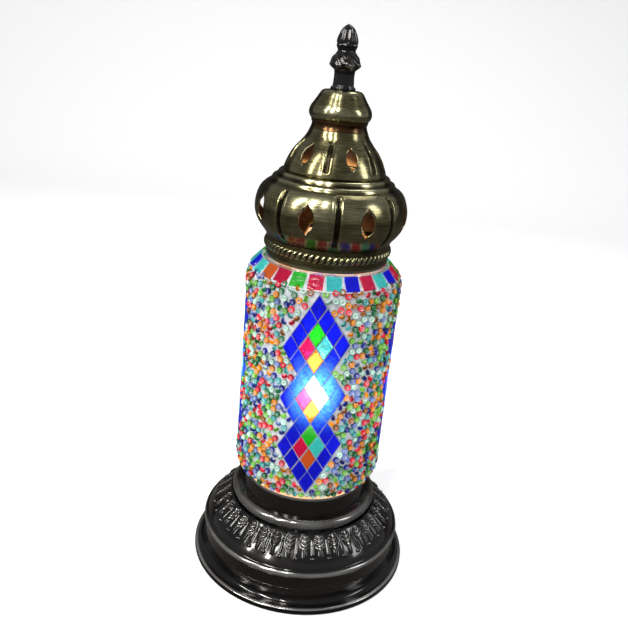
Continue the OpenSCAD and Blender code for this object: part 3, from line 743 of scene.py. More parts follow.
# %% Shoulder tiles
ORDER = "CTBCTBCGTOCBTCGCTBCGTBTOCG"
LETTER = dict(blue="B", crimson="C", green="G", turquoise="T", orange="O")
TILT = math.radians(43)
SHOULDER_TURN = math.radians(-5.8) + np.arange(26) * 2 * math.pi / 26


def on_shoulder(local, turn):
    """Flat pieces laid on the shoulder's slope: y climbs it, depth stands out of it."""
    x, y, deep = local[..., 0], local[..., 1], local[..., 2] + SHOULDER_R + GROUT + TILE_FIT
    radius = GLASS_R - SHOULDER_R + deep * math.cos(TILT) - y * math.sin(TILT)
    height = SHOULDER_Z + deep * math.sin(TILT) + y * math.cos(TILT)
    sin, cos = np.sin(turn[:, None]), np.cos(turn[:, None])
    return np.stack([radius * sin + x * cos, -radius * cos + x * sin, height], -1)


def shoulder_tiles(colour):
    """The square tiles of one colour, as one piece."""
    pick = np.array([letter == LETTER[colour] for letter in ORDER])
    half = 4.5
    square = np.array([[-half, -half], [half, -half], [half, half + 0.5], [-half, half + 0.5]])
    size = rng.uniform(0.95, 1.02, (pick.sum(), 1, 2))
    outlines = wobble(square[None] * size, 0.25)
    local, quads = slabs(outlines, TILE_T)
    points = on_shoulder(local, SHOULDER_TURN[pick])
    return solid(f"square_glass_{colour}", points.reshape(-1, 3), quads, "base", f"shoulder_tiles_{colour}",
                 np.repeat(rng.uniform(0, 1, pick.sum()), 12), smooth_to=25)


squares = {colour: shoulder_tiles(colour) for colour in COLOURS}

# %% [markdown]
# ## Grout
#
# Grout fills the lattice between the tiles and the field under the beads, but not the space
# behind a tile: there the glue is clear, so that the bulb's light comes through. So the
# grout is made in three parts: a frame round each rhombus, a frame round each square, and a
# sheet under the beads with the panels left open.

# %% Grout frames
def frames(inner, outer, deep, low):
    """Frames between two outlines, each (tiles, 4, 2): a flat top `deep` out, with walls
    down to `low` round the inside. Gives local points and quads."""
    tiles = len(inner)
    rings = np.stack([outer, outer, inner, inner], 1)
    level = np.array([low, deep, deep, low])
    points = np.concatenate([rings, np.broadcast_to(level[None, :, None, None], (tiles, 4, 4, 1))], -1)
    ring = np.arange(4)
    after = (ring + 1) % 4
    faces = np.vstack([np.stack([a + ring, a + after, a + 4 + after, a + 4 + ring], -1) for a in (0, 4, 8)])
    faces = np.vstack([faces, np.stack([12 + ring, 12 + after, after, ring], -1)])
    quads = faces[None] + (np.arange(tiles) * 16)[:, None, None]
    return points.reshape(tiles, 16, 3), quads.reshape(-1, 4)


def panel_grout():
    """A frame for every cell of the rhombus lattice, from the cell's edge to its tile."""
    turn = (PANEL_TURN + np.arange(4)[:, None] * math.pi / 2 + CELL_X[None] / TILE_MID).ravel()
    z = np.tile(CELL_Z, 4)
    rise = PITCH / 2 * ROW_RISE
    cell = np.array([[0, -ROW], [PITCH / 2, rise], [0, ROW], [-PITCH / 2, -rise]])
    outer = np.repeat(cell[None] * 1.06, len(z), 0)
    inner = np.repeat(cell[None] * 0.89, len(z), 0)
    local, quads = frames(inner, outer, 0.95, -0.6)
    points = on_cylinder(local, turn, z, TILE_BACK)
    return solid("panel_grout", points.reshape(-1, 3), quads, "base", "grout_coat", smooth_to=25)


def shoulder_grout():
    """A wedge-shaped frame for every square tile, meeting its neighbours."""
    foot, top = 5.75, 4.85
    cell = np.array([[-foot, -5.3], [foot, -5.3], [top, 4.9], [-top, 4.9]])
    tile = np.array([[-4.2, -4.2], [4.2, -4.2], [4.2, 4.2], [-4.2, 4.2]])
    count = len(SHOULDER_TURN)
    local, quads = frames(np.repeat(tile[None], count, 0), np.repeat(cell[None], count, 0), 0.95, -0.8)
    points = on_shoulder(local, SHOULDER_TURN)
    return solid("shoulder_grout", points.reshape(-1, 3), quads, "base", "grout_coat", smooth_to=25)


lattice = panel_grout()
wedges = shoulder_grout()

# %% [markdown]
# The bead field needs to know where the panels are. The half width of a panel at a height is
# a zigzag: it swings between one and two lattice steps at the linked diamonds and
# falls to nothing at both tips.

# %% Panel edge and bead field
def panel_half_width(z):
    """Half width in mm of a panel at height z: nought outside, a zigzag inside. The height
    is taken along the panel's own rows, which rise to the right."""
    middle = (PANEL_TOP + PANEL_FOOT) / 2
    knots = middle + ROW * np.array([-8, -4, -2, 0, 2, 4, 8])
    widths = PITCH * np.array([0, 2, 1, 2, 1, 2, 0])
    return np.interp(z, knots, widths, 0, 0)


def offset_from_panel(turn, z):
    """Distance in mm sideways from the nearest panel's middle line."""
    quarter = math.pi / 2
    x = ((turn - PANEL_TURN + quarter / 2) % quarter - quarter / 2) * TILE_MID
    return x - lean_at(z)


FIELD_FOOT = 68.0
FIELD_LINE = even_line(np.vstack([
    GLASS_FOOT[GLASS_FOOT[:, 1] > FIELD_FOOT],
    arc((GLASS_R - SHOULDER_R, SHOULDER_Z), SHOULDER_R, 0, 29, 8)]), 1.0)
FIELD_NORMAL = outward(FIELD_LINE)


def grout_field():
    """Sheet under the beads, uneven by a few tenths, without the faces behind the panels."""
    columns = 300
    turn = np.linspace(0, 2 * math.pi, columns, endpoint=False)[None]
    rows = np.arange(len(FIELD_LINE))[:, None]
    ripple = 0.14 * np.sin(turn * 37 + rows * 0.9) * np.sin(rows * 1.7 + turn * 11)
    ripple = ripple + 0.1 * np.sin(turn * 71 - rows * 1.3)
    out = 1.75 * np.clip((rows + 0.4) / 1.6, 0, 1) ** 0.5 + ripple
    face = FIELD_LINE[:, None] + FIELD_NORMAL[:, None] * out[..., None]
    points = round_axis(face[..., 0], turn, face[..., 1])
    quads = grid_quads(len(FIELD_LINE), columns)
    middle_row, middle_turn = (rows[:-1] + 0.5), turn + math.pi / columns
    z = np.interp(middle_row, np.arange(len(FIELD_LINE)), FIELD_LINE[:, 1])
    off = offset_from_panel(middle_turn, z)
    inside = np.abs(off) < panel_half_width(z - off * ROW_RISE) - 0.8
    sheet = solid("bead_bed", points.reshape(-1, 3), quads[~inside.ravel()], "base", "grout_coat",
                  smooth_to=60)
    wall = sheet.modifiers.new("coat", "SOLIDIFY")
    wall.thickness, wall.offset = 1.5 * MM, -1
    return sheet


bead_bed = grout_field()

# %% [markdown]
# ## Seed beads
#
# Well over a thousand ring beads are pressed into the grout by hand. They lie evenly but
# without order, so they start on staggered rows, are thrown off by a random step, and are
# then pushed apart, all pairs at once, until neighbours are a bead's width from each other.
# Beads that end up in a panel are pushed out over its edge.

# %% Scatter the beads
BEAD_D = 4.1
FIRST_BEAD = 3.9


def bead_rows():
    """Staggered rows round the glass, left open at the panels: angle and row place."""
    run = len(FIELD_LINE) - 1
    turns, places = [], []
    for count, place in enumerate(np.arange(FIRST_BEAD + 0.5, run, BEAD_D * 0.93)):
        radius, z = FIELD_LINE[int(place)]
        number = int(2 * math.pi * (radius + 2.5) / (BEAD_D * 1.07))
        turn = (np.arange(number) + count % 2 / 2) * 2 * math.pi / number
        off = offset_from_panel(turn, z)
        wide = panel_half_width(z - off * ROW_RISE)
        turn = turn[(wide == 0) | (np.abs(off) > wide + 1.2)]
        turns.append(turn)
        places.append(np.full(len(turn), place))
    return np.concatenate(turns), np.concatenate(places)


def scatter_beads():
    """Angle and row place of each bead, after rounds of pushing apart every close pair."""
    run = len(FIELD_LINE) - 1
    turn, place = bead_rows()
    turn = turn + rng.normal(0, 1.3, len(turn)) / TILE_MID
    place = place + rng.normal(0, 1.3, len(place))
    index = np.arange(run + 1)
    step = np.linalg.norm(np.diff(FIELD_LINE, axis=0), axis=1).mean()
    for _ in range(26):
        z = np.interp(place, index, FIELD_LINE[:, 1])
        radius = np.interp(place, index, FIELD_LINE[:, 0]) + 2.5
        across = (turn[:, None] - turn[None] + math.pi) % (2 * math.pi) - math.pi
        across = across * (radius[:, None] + radius[None]) / 2
        along = (place[:, None] - place[None]) * step
        gap = np.hypot(across, along) + 1e-6
        push = np.clip(BEAD_D - gap, 0, None) / gap * 0.35
        np.fill_diagonal(push, 0)
        turn = turn + (push * across).sum(1) / radius
        place = np.clip(place + (push * along).sum(1) / step, FIRST_BEAD, run - 0.2)
        z = np.interp(place, index, FIELD_LINE[:, 1])
        off = offset_from_panel(turn, z)
        wide = panel_half_width(z - off * ROW_RISE)
        short = wide + 2.0 - np.abs(off)
        edge = (wide > 0) & (short > 0)
        turn = turn + np.where(edge, np.sign(off) * short / TILE_MID * 0.7, 0)
    return turn, place


bead_turn, bead_place = scatter_beads()
BEADS = len(bead_turn)
print("beads:", BEADS)


# %% One ring bead
def ring_bead(round_count=9):
    """A short fat ring: six points of section, carried round the hole. The last result is a
    painted shading tone for each point: painted shade at the outer edge, painted light in the hole."""
    section = np.array([[0.85, -0.7], [1.4, -1.25], [2.05, -0.6], [2.05, 0.6], [1.4, 1.25], [0.85, 0.7]])
    turn = np.linspace(0, 2 * math.pi, round_count, endpoint=False)
    points = np.stack([section[:, :1] * np.cos(turn), section[:, :1] * np.sin(turn),
                       section[:, 1:] + 0 * turn], -1)
    # Painted shading: painted shade at the outer edge, painted light in the hole.
    rim = np.repeat([0.95, 0.55, 0.1, 0.1, 0.6, 1.0], round_count)
    return points.reshape(-1, 3), grid_quads(len(section), round_count, close_rows=True), rim


BEAD_POINTS, BEAD_QUADS, BEAD_PAINTED_SHADING = ring_bead()
print("faces on one bead:", len(BEAD_QUADS))

# %% Beads by colour
BEAD_MIX = dict(red=0.15, amber=0.14, brown=0.07, forest=0.11, lime=0.11, teal=0.1, mint=0.14, navy=0.1,
                periwinkle=0.08)


def bead_frames():
    """For each bead its middle and three axes. Two thirds lie flat with the hole outwards;
    the others stand on edge, with the hole along the glass."""
    index = np.arange(len(FIELD_LINE))
    base = np.stack([np.interp(bead_place, index, FIELD_LINE[:, k]) for k in (0, 1)], -1)
    normal = np.stack([np.interp(bead_place, index, FIELD_NORMAL[:, k]) for k in (0, 1)], -1)
    normal /= np.linalg.norm(normal, axis=1, keepdims=True)
    sin, cos = np.sin(bead_turn), np.cos(bead_turn)
    out = np.stack([normal[:, 0] * sin, -normal[:, 0] * cos, normal[:, 1]], -1)
    level = np.stack([cos, sin, 0 * sin], -1)
    climb = np.cross(out, level)
    flat = rng.uniform(0, 1, BEADS) < 0.64
    spin = rng.uniform(0, 2 * math.pi, BEADS)[:, None]
    along = np.cos(spin) * level + np.sin(spin) * climb
    lean = rng.normal(0, 0.16, (BEADS, 1))
    hole = np.where(flat[:, None], out + lean * along, along + lean * out)
    hole /= np.linalg.norm(hole, axis=1, keepdims=True)
    side = np.cross(hole, np.where(flat[:, None], level, out))
    side /= np.linalg.norm(side, axis=1, keepdims=True)
    lift = np.where(flat, 2.45, 1.75)[:, None] + rng.uniform(-0.15, 0.1, (BEADS, 1))
    middle = round_axis(base[:, 0], bead_turn, base[:, 1]) + out * lift
    return middle, side, np.cross(hole, side), hole


bead_middle, bead_side, bead_other, bead_hole = bead_frames()
bead_size = rng.uniform(0.93, 1.02, BEADS)
bead_names = np.array(list(BEAD_MIX))
share = np.array(list(BEAD_MIX.values()))
bead_colour = rng.choice(len(bead_names), BEADS, p=share / share.sum())


def string_of(colour):
    """All beads of one colour as one piece. Each point's tone is the ring's painted shading, moved
    up or down by the bead's own tint."""
    pick = bead_colour == colour
    local = BEAD_POINTS[None] * bead_size[pick][:, None, None]
    points = (bead_middle[pick][:, None] + local[..., :1] * bead_side[pick][:, None]
              + local[..., 1:2] * bead_other[pick][:, None] + local[..., 2:] * bead_hole[pick][:, None])
    quads = BEAD_QUADS[None] + (np.arange(pick.sum()) * len(BEAD_POINTS))[:, None, None]
    tint = np.clip(BEAD_PAINTED_SHADING[None] * 0.85 + rng.uniform(-0.1, 0.25, (pick.sum(), 1)), 0, 1).ravel()
    return solid(f"beads_{bead_names[colour]}", points.reshape(-1, 3), quads.reshape(-1, 4), "base",
                 "bead_coat", tint, smooth_to=75)


beads = {bead_names[colour]: string_of(colour) for colour in range(len(bead_names))}

# %% [markdown]
# ## Shared effects
#
# Three shader groups are used by many finishes. `brushing` gives fine streaks that run round
# the axis, as a spinner's emery leaves them. `hammering` gives the bubbly, dimpled face of
# rolled glass. The third says how near a point is to the bulb; glass, beads and grout near it
# get a painted glow from it, emission that stands in for the bulb's light.

# %% Group helpers
def new_group(name, takes, gives):
    """An empty shader group with the named sockets, and its input and output nodes."""
    tree = bpy.data.node_groups.new(name, "ShaderNodeTree")
    for socket, kind, value in takes:
        made = tree.interface.new_socket(socket, in_out="INPUT", socket_type=kind)
        if value is not None:
            made.default_value = value
    for socket, kind in gives:
        tree.interface.new_socket(socket, in_out="OUTPUT", socket_type=kind)
    return tree, tree.nodes.new("NodeGroupInput"), tree.nodes.new("NodeGroupOutput")


def node(tree, kind, links=(), **values):
    """A node with its properties set and its inputs linked or given: links are pairs of an
    input's name or number and a socket or plain value."""
    made = tree.nodes.new(kind)
    for key, value in values.items():
        setattr(made, key, value)
    for key, value in links:
        if isinstance(value, bpy.types.NodeSocket):
            tree.links.new(value, made.inputs[key])
        else:
            made.inputs[key].default_value = value
    return made


def maths(tree, operation, a, b=0.0):
    """One step of arithmetic on two sockets or numbers."""
    return node(tree, "ShaderNodeMath", [(0, a), (1, b)], operation=operation).outputs[0]


# %% Brushing
def build_brushing():
    """Four-dimensional noise on (x/r, y/r, height, radius): long round the axis, fine across."""
    tree, given, result = new_group(
        "brushing",
        [("Place", "NodeSocketVector", None), ("Fineness", "NodeSocketFloat", 1.0)],
        [("Streak", "NodeSocketFloat"), ("Cloud", "NodeSocketFloat")])
    place = given.outputs["Place"]
    x, y, z = node(tree, "ShaderNodeSeparateXYZ", [(0, place)]).outputs
    square = maths(tree, "ADD", maths(tree, "MULTIPLY", x, x), maths(tree, "MULTIPLY", y, y))
    radius = maths(tree, "SQRT", square)
    safe = maths(tree, "MAXIMUM", radius, 0.0005)
    fine = maths(tree, "MULTIPLY", given.outputs["Fineness"], 1500.0)
    vector = node(tree, "ShaderNodeCombineXYZ", [
        (0, maths(tree, "MULTIPLY", maths(tree, "DIVIDE", x, safe), 5.0)),
        (1, maths(tree, "MULTIPLY", maths(tree, "DIVIDE", y, safe), 5.0)),
        (2, maths(tree, "MULTIPLY", z, fine))])
    streak = node(tree, "ShaderNodeTexNoise", [
        ("Vector", vector.outputs[0]), ("W", maths(tree, "MULTIPLY", radius, fine)), ("Scale", 1.0),
        ("Detail", 3.0), ("Roughness", 0.6)], noise_dimensions="4D")
    cloud = node(tree, "ShaderNodeTexNoise", [("Vector", place), ("Scale", 60.0), ("Detail", 4.0)])
    tree.links.new(streak.outputs[0], result.inputs["Streak"])
    tree.links.new(cloud.outputs[0], result.inputs["Cloud"])
    return tree


BRUSHING = build_brushing()


# %% Hammering
def build_hammering():
    """Round dimples from a smooth cell pattern, with a slow wave under them."""
    tree, given, result = new_group(
        "hammering",
        [("Place", "NodeSocketVector", None), ("Size", "NodeSocketFloat", 1.0)],
        [("Height", "NodeSocketFloat"), ("Cloud", "NodeSocketFloat")])
    place = given.outputs["Place"]
    scale = maths(tree, "DIVIDE", 520.0, given.outputs["Size"])
    slow = maths(tree, "MULTIPLY", scale, 0.45)
    cells = node(tree, "ShaderNodeTexVoronoi", [("Vector", place), ("Scale", scale), ("Smoothness", 0.6)],
                 feature="SMOOTH_F1")
    wave = node(tree, "ShaderNodeTexNoise", [("Vector", place), ("Scale", slow), ("Detail", 3.0)])
    height = maths(tree, "ADD", cells.outputs["Distance"], maths(tree, "MULTIPLY", wave.outputs[0], 1.2))
    tree.links.new(height, result.inputs["Height"])
    tree.links.new(wave.outputs[0], result.inputs["Cloud"])
    return tree


HAMMERING = build_hammering()


# %% Painted bulb glow
BULB_MIDDLE = sum((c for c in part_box("bulb_globe")), Vector()) / 2


def build_painted_glow():
    """Painted glow: a colour scaled by one over one plus the squared distance from the bulb, in
    units of Reach.
    """
    tree, given, result = new_group(
        "painted_bulb_glow",
        [("Place", "NodeSocketVector", None), ("Reach", "NodeSocketFloat", 0.05),
         ("Colour", "NodeSocketColor", None)],
        [("Light", "NodeSocketColor")])
    source = tuple(BULB_MIDDLE + Vector((0, 0, 0.008)))
    away = node(tree, "ShaderNodeVectorMath", [(0, given.outputs["Place"]), (1, source)],
                operation="DISTANCE")
    ratio = maths(tree, "DIVIDE", away.outputs["Value"], given.outputs["Reach"])
    near = maths(tree, "DIVIDE", 1.0, maths(tree, "ADD", 1.0, maths(tree, "MULTIPLY", ratio, ratio)))
    light = node(tree, "ShaderNodeVectorMath", [(0, given.outputs["Colour"])], operation="SCALE")
    tree.links.new(near, light.inputs["Scale"])
    tree.links.new(light.outputs[0], result.inputs["Light"])
    return tree


PAINTED_GLOW = build_painted_glow()
print("groups:", [g.name for g in (BRUSHING, HAMMERING, PAINTED_GLOW)])

# %% [markdown]
# ## Finishes
#
# Every finish starts from a Principled shader and the point's place on the object. Metal
# gets a dark patina in its grooves and a rubbed, paler tone on its ridges from `relief`.

# %% Finish helper
def finish(name, **sockets):
    """A material with constants set on its Principled shader. Gives material, tree, shader
    and the Object coordinates."""
    material = bpy.data.materials.new(name)
    material.use_nodes = True
    tree = material.node_tree
    shader = tree.nodes["Principled BSDF"]
    for key, value in sockets.items():
        shader.inputs[key.replace("_", " ")].default_value = value
    place = tree.nodes.new("ShaderNodeTexCoord").outputs["Object"]
    return material, tree, shader, place


def group(tree, which, links):
    """A placed shader group."""
    made = tree.nodes.new("ShaderNodeGroup")
    made.node_tree = which
    for key, value in links:
        if isinstance(value, bpy.types.NodeSocket):
            tree.links.new(value, made.inputs[key])
        else:
            made.inputs[key].default_value = value
    return made


def ramp(tree, value, stops):
    """Colour ramp over the value, from (place, colour) stops."""
    made = node(tree, "ShaderNodeValToRGB", [(0, value)])
    marks = made.color_ramp.elements
    for mark, (where, colour) in zip(marks, (stops[0], stops[-1])):
        mark.position = where
        mark.color = (*colour, 1)
    for where, colour in stops[1:-1]:
        marks.new(where).color = (*colour, 1)
    return made.outputs[0]


def bumped(tree, shader, height, strength, distance):
    """Bump from a height socket onto the shader's normal."""
    made = node(tree, "ShaderNodeBump", [("Strength", strength), ("Distance", distance), ("Height", height)])
    tree.links.new(made.outputs[0], shader.inputs["Normal"])


def relief_of(tree):
    """The relief value that rides on the mesh."""
    return node(tree, "ShaderNodeAttribute", attribute_name="relief").outputs["Fac"]


# %% Antique brass
def antique_brass(name, dark, mid, pale, roughness=0.2):
    """Olive brass, brushed round the axis: tone from relief, cloud and streaks together. The
    gloss is stretched across the brushing, so a light draws an upright streak."""
    material, tree, shader, place = finish(name, Metallic=1.0, Anisotropic=0.6, Anisotropic_Rotation=0.25)
    marks = group(tree, BRUSHING, [("Place", place), ("Fineness", 1.0)])
    cloud = maths(tree, "MULTIPLY", maths(tree, "SUBTRACT", marks.outputs["Cloud"], 0.5), 0.8)
    streak = maths(tree, "MULTIPLY", maths(tree, "SUBTRACT", marks.outputs["Streak"], 0.5), 0.75)
    tone = maths(tree, "ADD", relief_of(tree), maths(tree, "ADD", cloud, streak))
    tree.links.new(ramp(tree, tone, [(0.12, dark), (0.5, mid), (0.9, pale)]), shader.inputs["Base Color"])
    rough = maths(tree, "ADD", roughness - 0.09, maths(tree, "MULTIPLY", marks.outputs["Streak"], 0.18))
    tree.links.new(rough, shader.inputs["Roughness"])
    bumped(tree, shader, marks.outputs["Streak"], 0.2, 0.00005)
    return material


brass = antique_brass("antique_brass", (0.028, 0.022, 0.012), (0.2, 0.178, 0.088), (0.5, 0.47, 0.29))
brown_brass = antique_brass(
    "brown_brass", (0.03, 0.016, 0.008), (0.15, 0.08, 0.035), (0.24, 0.14, 0.07), 0.26)


# %% Raw copper inside the domes, with a painted glow
def copper_with_painted_glow():
    """The unpolished inside, copper coloured, with painted light: a warm painted glow low in each
    dome, where the bulb's light would fall, and dark above.
    """
    material, tree, shader, place = finish("copper_with_painted_glow", Metallic=0.7, Roughness=0.45, Emission_Strength=1.0)
    marks = group(tree, BRUSHING, [("Place", place), ("Fineness", 0.6)])
    tones = [(0.3, (0.04, 0.015, 0.006)), (0.7, (0.11, 0.05, 0.02))]
    tree.links.new(ramp(tree, marks.outputs["Cloud"], tones), shader.inputs["Base Color"])
    height = node(tree, "ShaderNodeSeparateXYZ", [(0, place)]).outputs[2]
    spots = maths(tree, "MULTIPLY", marks.outputs["Cloud"], 0.012)
    level = maths(tree, "MULTIPLY", maths(tree, "ADD", height, spots), 3.0)
    # Painted light: warm bands of glow at the foot of each dome, standing in for the bulb's light that comes
    # up through the neck, dark between them.
    lit, dim, dark = (1, 0.45, 0.14), (0.09, 0.035, 0.012), (0.01, 0.004, 0.002)
    light = ramp(tree, level, [
        (0.69, lit), (0.705, dim), (0.73, dark), (0.815, dark), (0.83, lit), (0.84, dim), (0.852, dark)])
    tree.links.new(light, shader.inputs["Emission Color"])
    bumped(tree, shader, marks.outputs["Streak"], 0.3, 0.00008)
    return material


copper = copper_with_painted_glow()


# %% Black cast bronze
def black_bronze(name, tint=(0.02, 0.016, 0.013), rub=(0.3, 0.29, 0.28)):
    """Lacquered black: glossy, slightly pitted, paler on what hands and cloths have rubbed."""
    material, tree, shader, place = finish(name, Metallic=0.75, Coat_Weight=1.0, Coat_Roughness=0.07)
    marks = group(tree, BRUSHING, [("Place", place), ("Fineness", 0.35)])
    pits = node(tree, "ShaderNodeTexNoise", [("Vector", place), ("Scale", 700.0), ("Detail", 3.0)])
    cloud = maths(tree, "MULTIPLY", maths(tree, "SUBTRACT", marks.outputs["Cloud"], 0.5), 0.4)
    tone = maths(tree, "ADD", relief_of(tree), cloud)
    tree.links.new(ramp(tree, tone, [(0.2, (0.004, 0.003, 0.003)), (0.62, tint), (1.0, rub)]),
                   shader.inputs["Base Color"])
    rough = maths(tree, "ADD", 0.1, maths(tree, "MULTIPLY", marks.outputs["Cloud"], 0.2))
    tree.links.new(rough, shader.inputs["Roughness"])
    bumped(tree, shader, maths(tree, "ADD", pits.outputs[0], marks.outputs["Streak"]), 0.22, 0.00005)
    return material


bronze = black_bronze("black_bronze")


# %% Rolled glass for tiles, with painted glow and a painted hot spot
# Height and reach of the painted hot spot on each panel.
PAINTED_SPOT_HEIGHT, PAINTED_SPOT_REACH = BULB_MIDDLE.z + 0.014, 0.013


def tile_glass(name, colour, light, painted_spot_colour):
    """Dimpled coloured glass with a painted glow in its own colour near the bulb. Each panel also
    has a painted hot spot, palest in its middle at the bulb's height, standing in for the light
    that comes straight through: spot = cos(4 turn) ** 2 * e ** -((z - bulb) / 13 mm) ** 2,
    broken up by the dimples."""
    material, tree, shader, place = finish(name, Roughness=0.12, IOR=1.45, Transmission_Weight=0.8,
                                           Emission_Strength=1.0)
    face = group(tree, HAMMERING, [("Place", place), ("Size", 1.0)])
    cloud = maths(tree, "MULTIPLY", face.outputs["Cloud"], 0.7)
    tone = maths(tree, "ADD", maths(tree, "MULTIPLY", relief_of(tree), 0.45), cloud)
    deep = tuple(c * 0.6 for c in colour)
    tree.links.new(ramp(tree, tone, [(0.15, deep), (0.85, colour)]), shader.inputs["Base Color"])
    bumped(tree, shader, face.outputs["Height"], 0.5, 0.0004)
    # Painted light: a pale hot spot in the middle of each panel at the bulb's height.
    x, y, height = node(tree, "ShaderNodeSeparateXYZ", [(0, place)]).outputs
    turn = maths(tree, "ARCTAN2", x, maths(tree, "MULTIPLY", y, -1.0))
    wave = maths(tree, "COSINE", maths(tree, "MULTIPLY", maths(tree, "SUBTRACT", turn, PANEL_TURN), 4.0))
    column = maths(tree, "POWER", maths(tree, "MAXIMUM", wave, 0.0), 2.0)
    off = maths(tree, "DIVIDE", maths(tree, "SUBTRACT", height, PAINTED_SPOT_HEIGHT), PAINTED_SPOT_REACH)
    level = maths(tree, "EXPONENT", maths(tree, "MULTIPLY", maths(tree, "MULTIPLY", off, off), -1.0))
    dimples = maths(tree, "ADD", maths(tree, "MULTIPLY", face.outputs["Height"], 1.1), -0.15)
    spot = maths(tree, "MULTIPLY", maths(tree, "MULTIPLY", column, level), dimples)
    pale = node(tree, "ShaderNodeVectorMath", [(0, painted_spot_colour)], operation="SCALE")
    tree.links.new(spot, pale.inputs["Scale"])
    # Painted light: a glow in the tile's own colour, stronger nearer the bulb.
    glow = group(tree, PAINTED_GLOW, [("Place", place), ("Reach", 0.045), ("Colour", (*light, 1))])
    both = node(tree, "ShaderNodeVectorMath", [(0, glow.outputs["Light"]), (1, pale.outputs[0])],
                operation="ADD")
    tree.links.new(both.outputs[0], shader.inputs["Emission Color"])
    return material


# For each colour: the glass's own colour, the colour of its painted glow near the bulb, and the colour of its
# painted hot spot.
TILE_COLOURS = dict(
    blue=((0.006, 0.014, 0.9), (0.0, 0.0, 0.42), (0.3, 1.4, 2.2)),
    crimson=((0.85, 0.012, 0.1), (0.42, 0.0, 0.045), (1.2, 0.4, 0.6)),
    green=((0.02, 0.7, 0.02), (0.0, 0.3, 0.0), (2.2, 2.6, 2.1)),
    turquoise=((0.12, 0.85, 0.8), (0.02, 0.36, 0.34), (3.0, 3.0, 3.0)),
    orange=((0.9, 0.2, 0.03), (0.38, 0.055, 0.008), (2.4, 1.3, 0.2)),
)
for colour, (body_colour, light, painted_spot_colour) in TILE_COLOURS.items():
    made = tile_glass(f"tile_{colour}", body_colour, light, painted_spot_colour)
    for piece in (rhombus[colour], squares[colour]):
        piece.data.materials.append(made)
print("tile finishes:", list(TILE_COLOURS))


# %% Bead glass
def bead_glass(name, colour, light):
    """Small glossy beads with painted shading, deep at the rim and pale in the hole, and a painted
    glow near the bulb as if lit from behind.
    """
    material, tree, shader, place = finish(name, Roughness=0.05, IOR=1.5, Transmission_Weight=0.4,
                                           Emission_Strength=1.0)
    # Painted shading on the ring: deep colour at its outer edge, a pale painted highlight in the hole.
    deep = tuple(c * 0.25 for c in colour)
    pale = tuple(min(1, c * 0.6 + 0.36) for c in colour)
    tone = ramp(tree, relief_of(tree), [(0.08, deep), (0.4, colour), (0.62, colour), (0.9, pale)])
    tree.links.new(tone, shader.inputs["Base Color"])
    # Painted light: the beads glow in their own tone, more near the bulb.
    glow = group(tree, PAINTED_GLOW, [("Place", place), ("Reach", 0.06), ("Colour", tone)])
    dimmed = node(tree, "ShaderNodeVectorMath", [(0, glow.outputs["Light"])], operation="SCALE")
    dimmed.inputs["Scale"].default_value = light
    tree.links.new(dimmed.outputs[0], shader.inputs["Emission Color"])
    grain = node(tree, "ShaderNodeTexNoise", [("Vector", place), ("Scale", 900.0), ("Detail", 2.0)])
    bumped(tree, shader, grain.outputs[0], 0.15, 0.0001)
    return material


BEAD_COLOURS = dict(
    red=(0.85, 0.02, 0.05), amber=(0.9, 0.32, 0.01), brown=(0.4, 0.12, 0.01), forest=(0.01, 0.2, 0.05),
    lime=(0.22, 0.6, 0.06), teal=(0.08, 0.48, 0.48), mint=(0.55, 0.8, 0.68), navy=(0.01, 0.02, 0.3),
    periwinkle=(0.16, 0.24, 0.6))
for colour, tint in BEAD_COLOURS.items():
    # The last number is the strength of the beads' painted glow.
    made = bead_glass(f"bead_{colour}", tint, 0.5)
    beads[colour].data.materials.append(made)
print("bead finishes:", list(BEAD_COLOURS))


# %% Grout, clear glass and bulb
def grout_finish(name, low, high, light):
    """Grey cement with grit, with a faint painted glow near the bulb as if lit from behind."""
    material, tree, shader, place = finish(name, Roughness=0.8, Emission_Strength=1.0)
    grit = node(tree, "ShaderNodeTexNoise", [("Vector", place), ("Scale", 420.0), ("Detail", 5.0)])
    tree.links.new(ramp(tree, grit.outputs[0], [(0.3, low), (0.7, high)]), shader.inputs["Base Color"])
    # Painted light: the grout glows faintly, more near the bulb.
    glow = group(tree, PAINTED_GLOW, [("Place", place), ("Reach", 0.05), ("Colour", (*light, 1))])
    tree.links.new(glow.outputs["Light"], shader.inputs["Emission Color"])
    bumped(tree, shader, grit.outputs[0], 0.5, 0.0003)
    return material


def blown_glass():
    """Clear glass with a slow unevenness. At its bare ends, in the cup's rim and under the collar,
    it has a warm painted glow that stands in for light caught in the wall."""
    material, tree, shader, place = finish("blown_glass", Roughness=0.03, IOR=1.45, Transmission_Weight=1.0,
                                           Emission_Strength=1.0)
    slow = node(tree, "ShaderNodeTexNoise", [("Vector", place), ("Scale", 45.0), ("Detail", 1.0)])
    tree.links.new(ramp(tree, slow.outputs[0], [(0.3, (0.98, 0.95, 0.92)), (0.7, (1, 0.98, 0.96))]),
                   shader.inputs["Base Color"])
    height = node(tree, "ShaderNodeSeparateXYZ", [(0, place)]).outputs[2]
    # Painted light: a warm glow on two thin bands of height, at the glass's bare ends.
    ends = ramp(tree, maths(tree, "MULTIPLY", height, 4.0), [
        (0.262, (0.62, 0.36, 0.18)), (0.277, (0, 0, 0)), (0.86, (0, 0, 0)), (0.868, (0.5, 0.28, 0.16))])
    tree.links.new(ends, shader.inputs["Emission Color"])
    bumped(tree, shader, slow.outputs[0], 0.1, 0.0004)
    return material


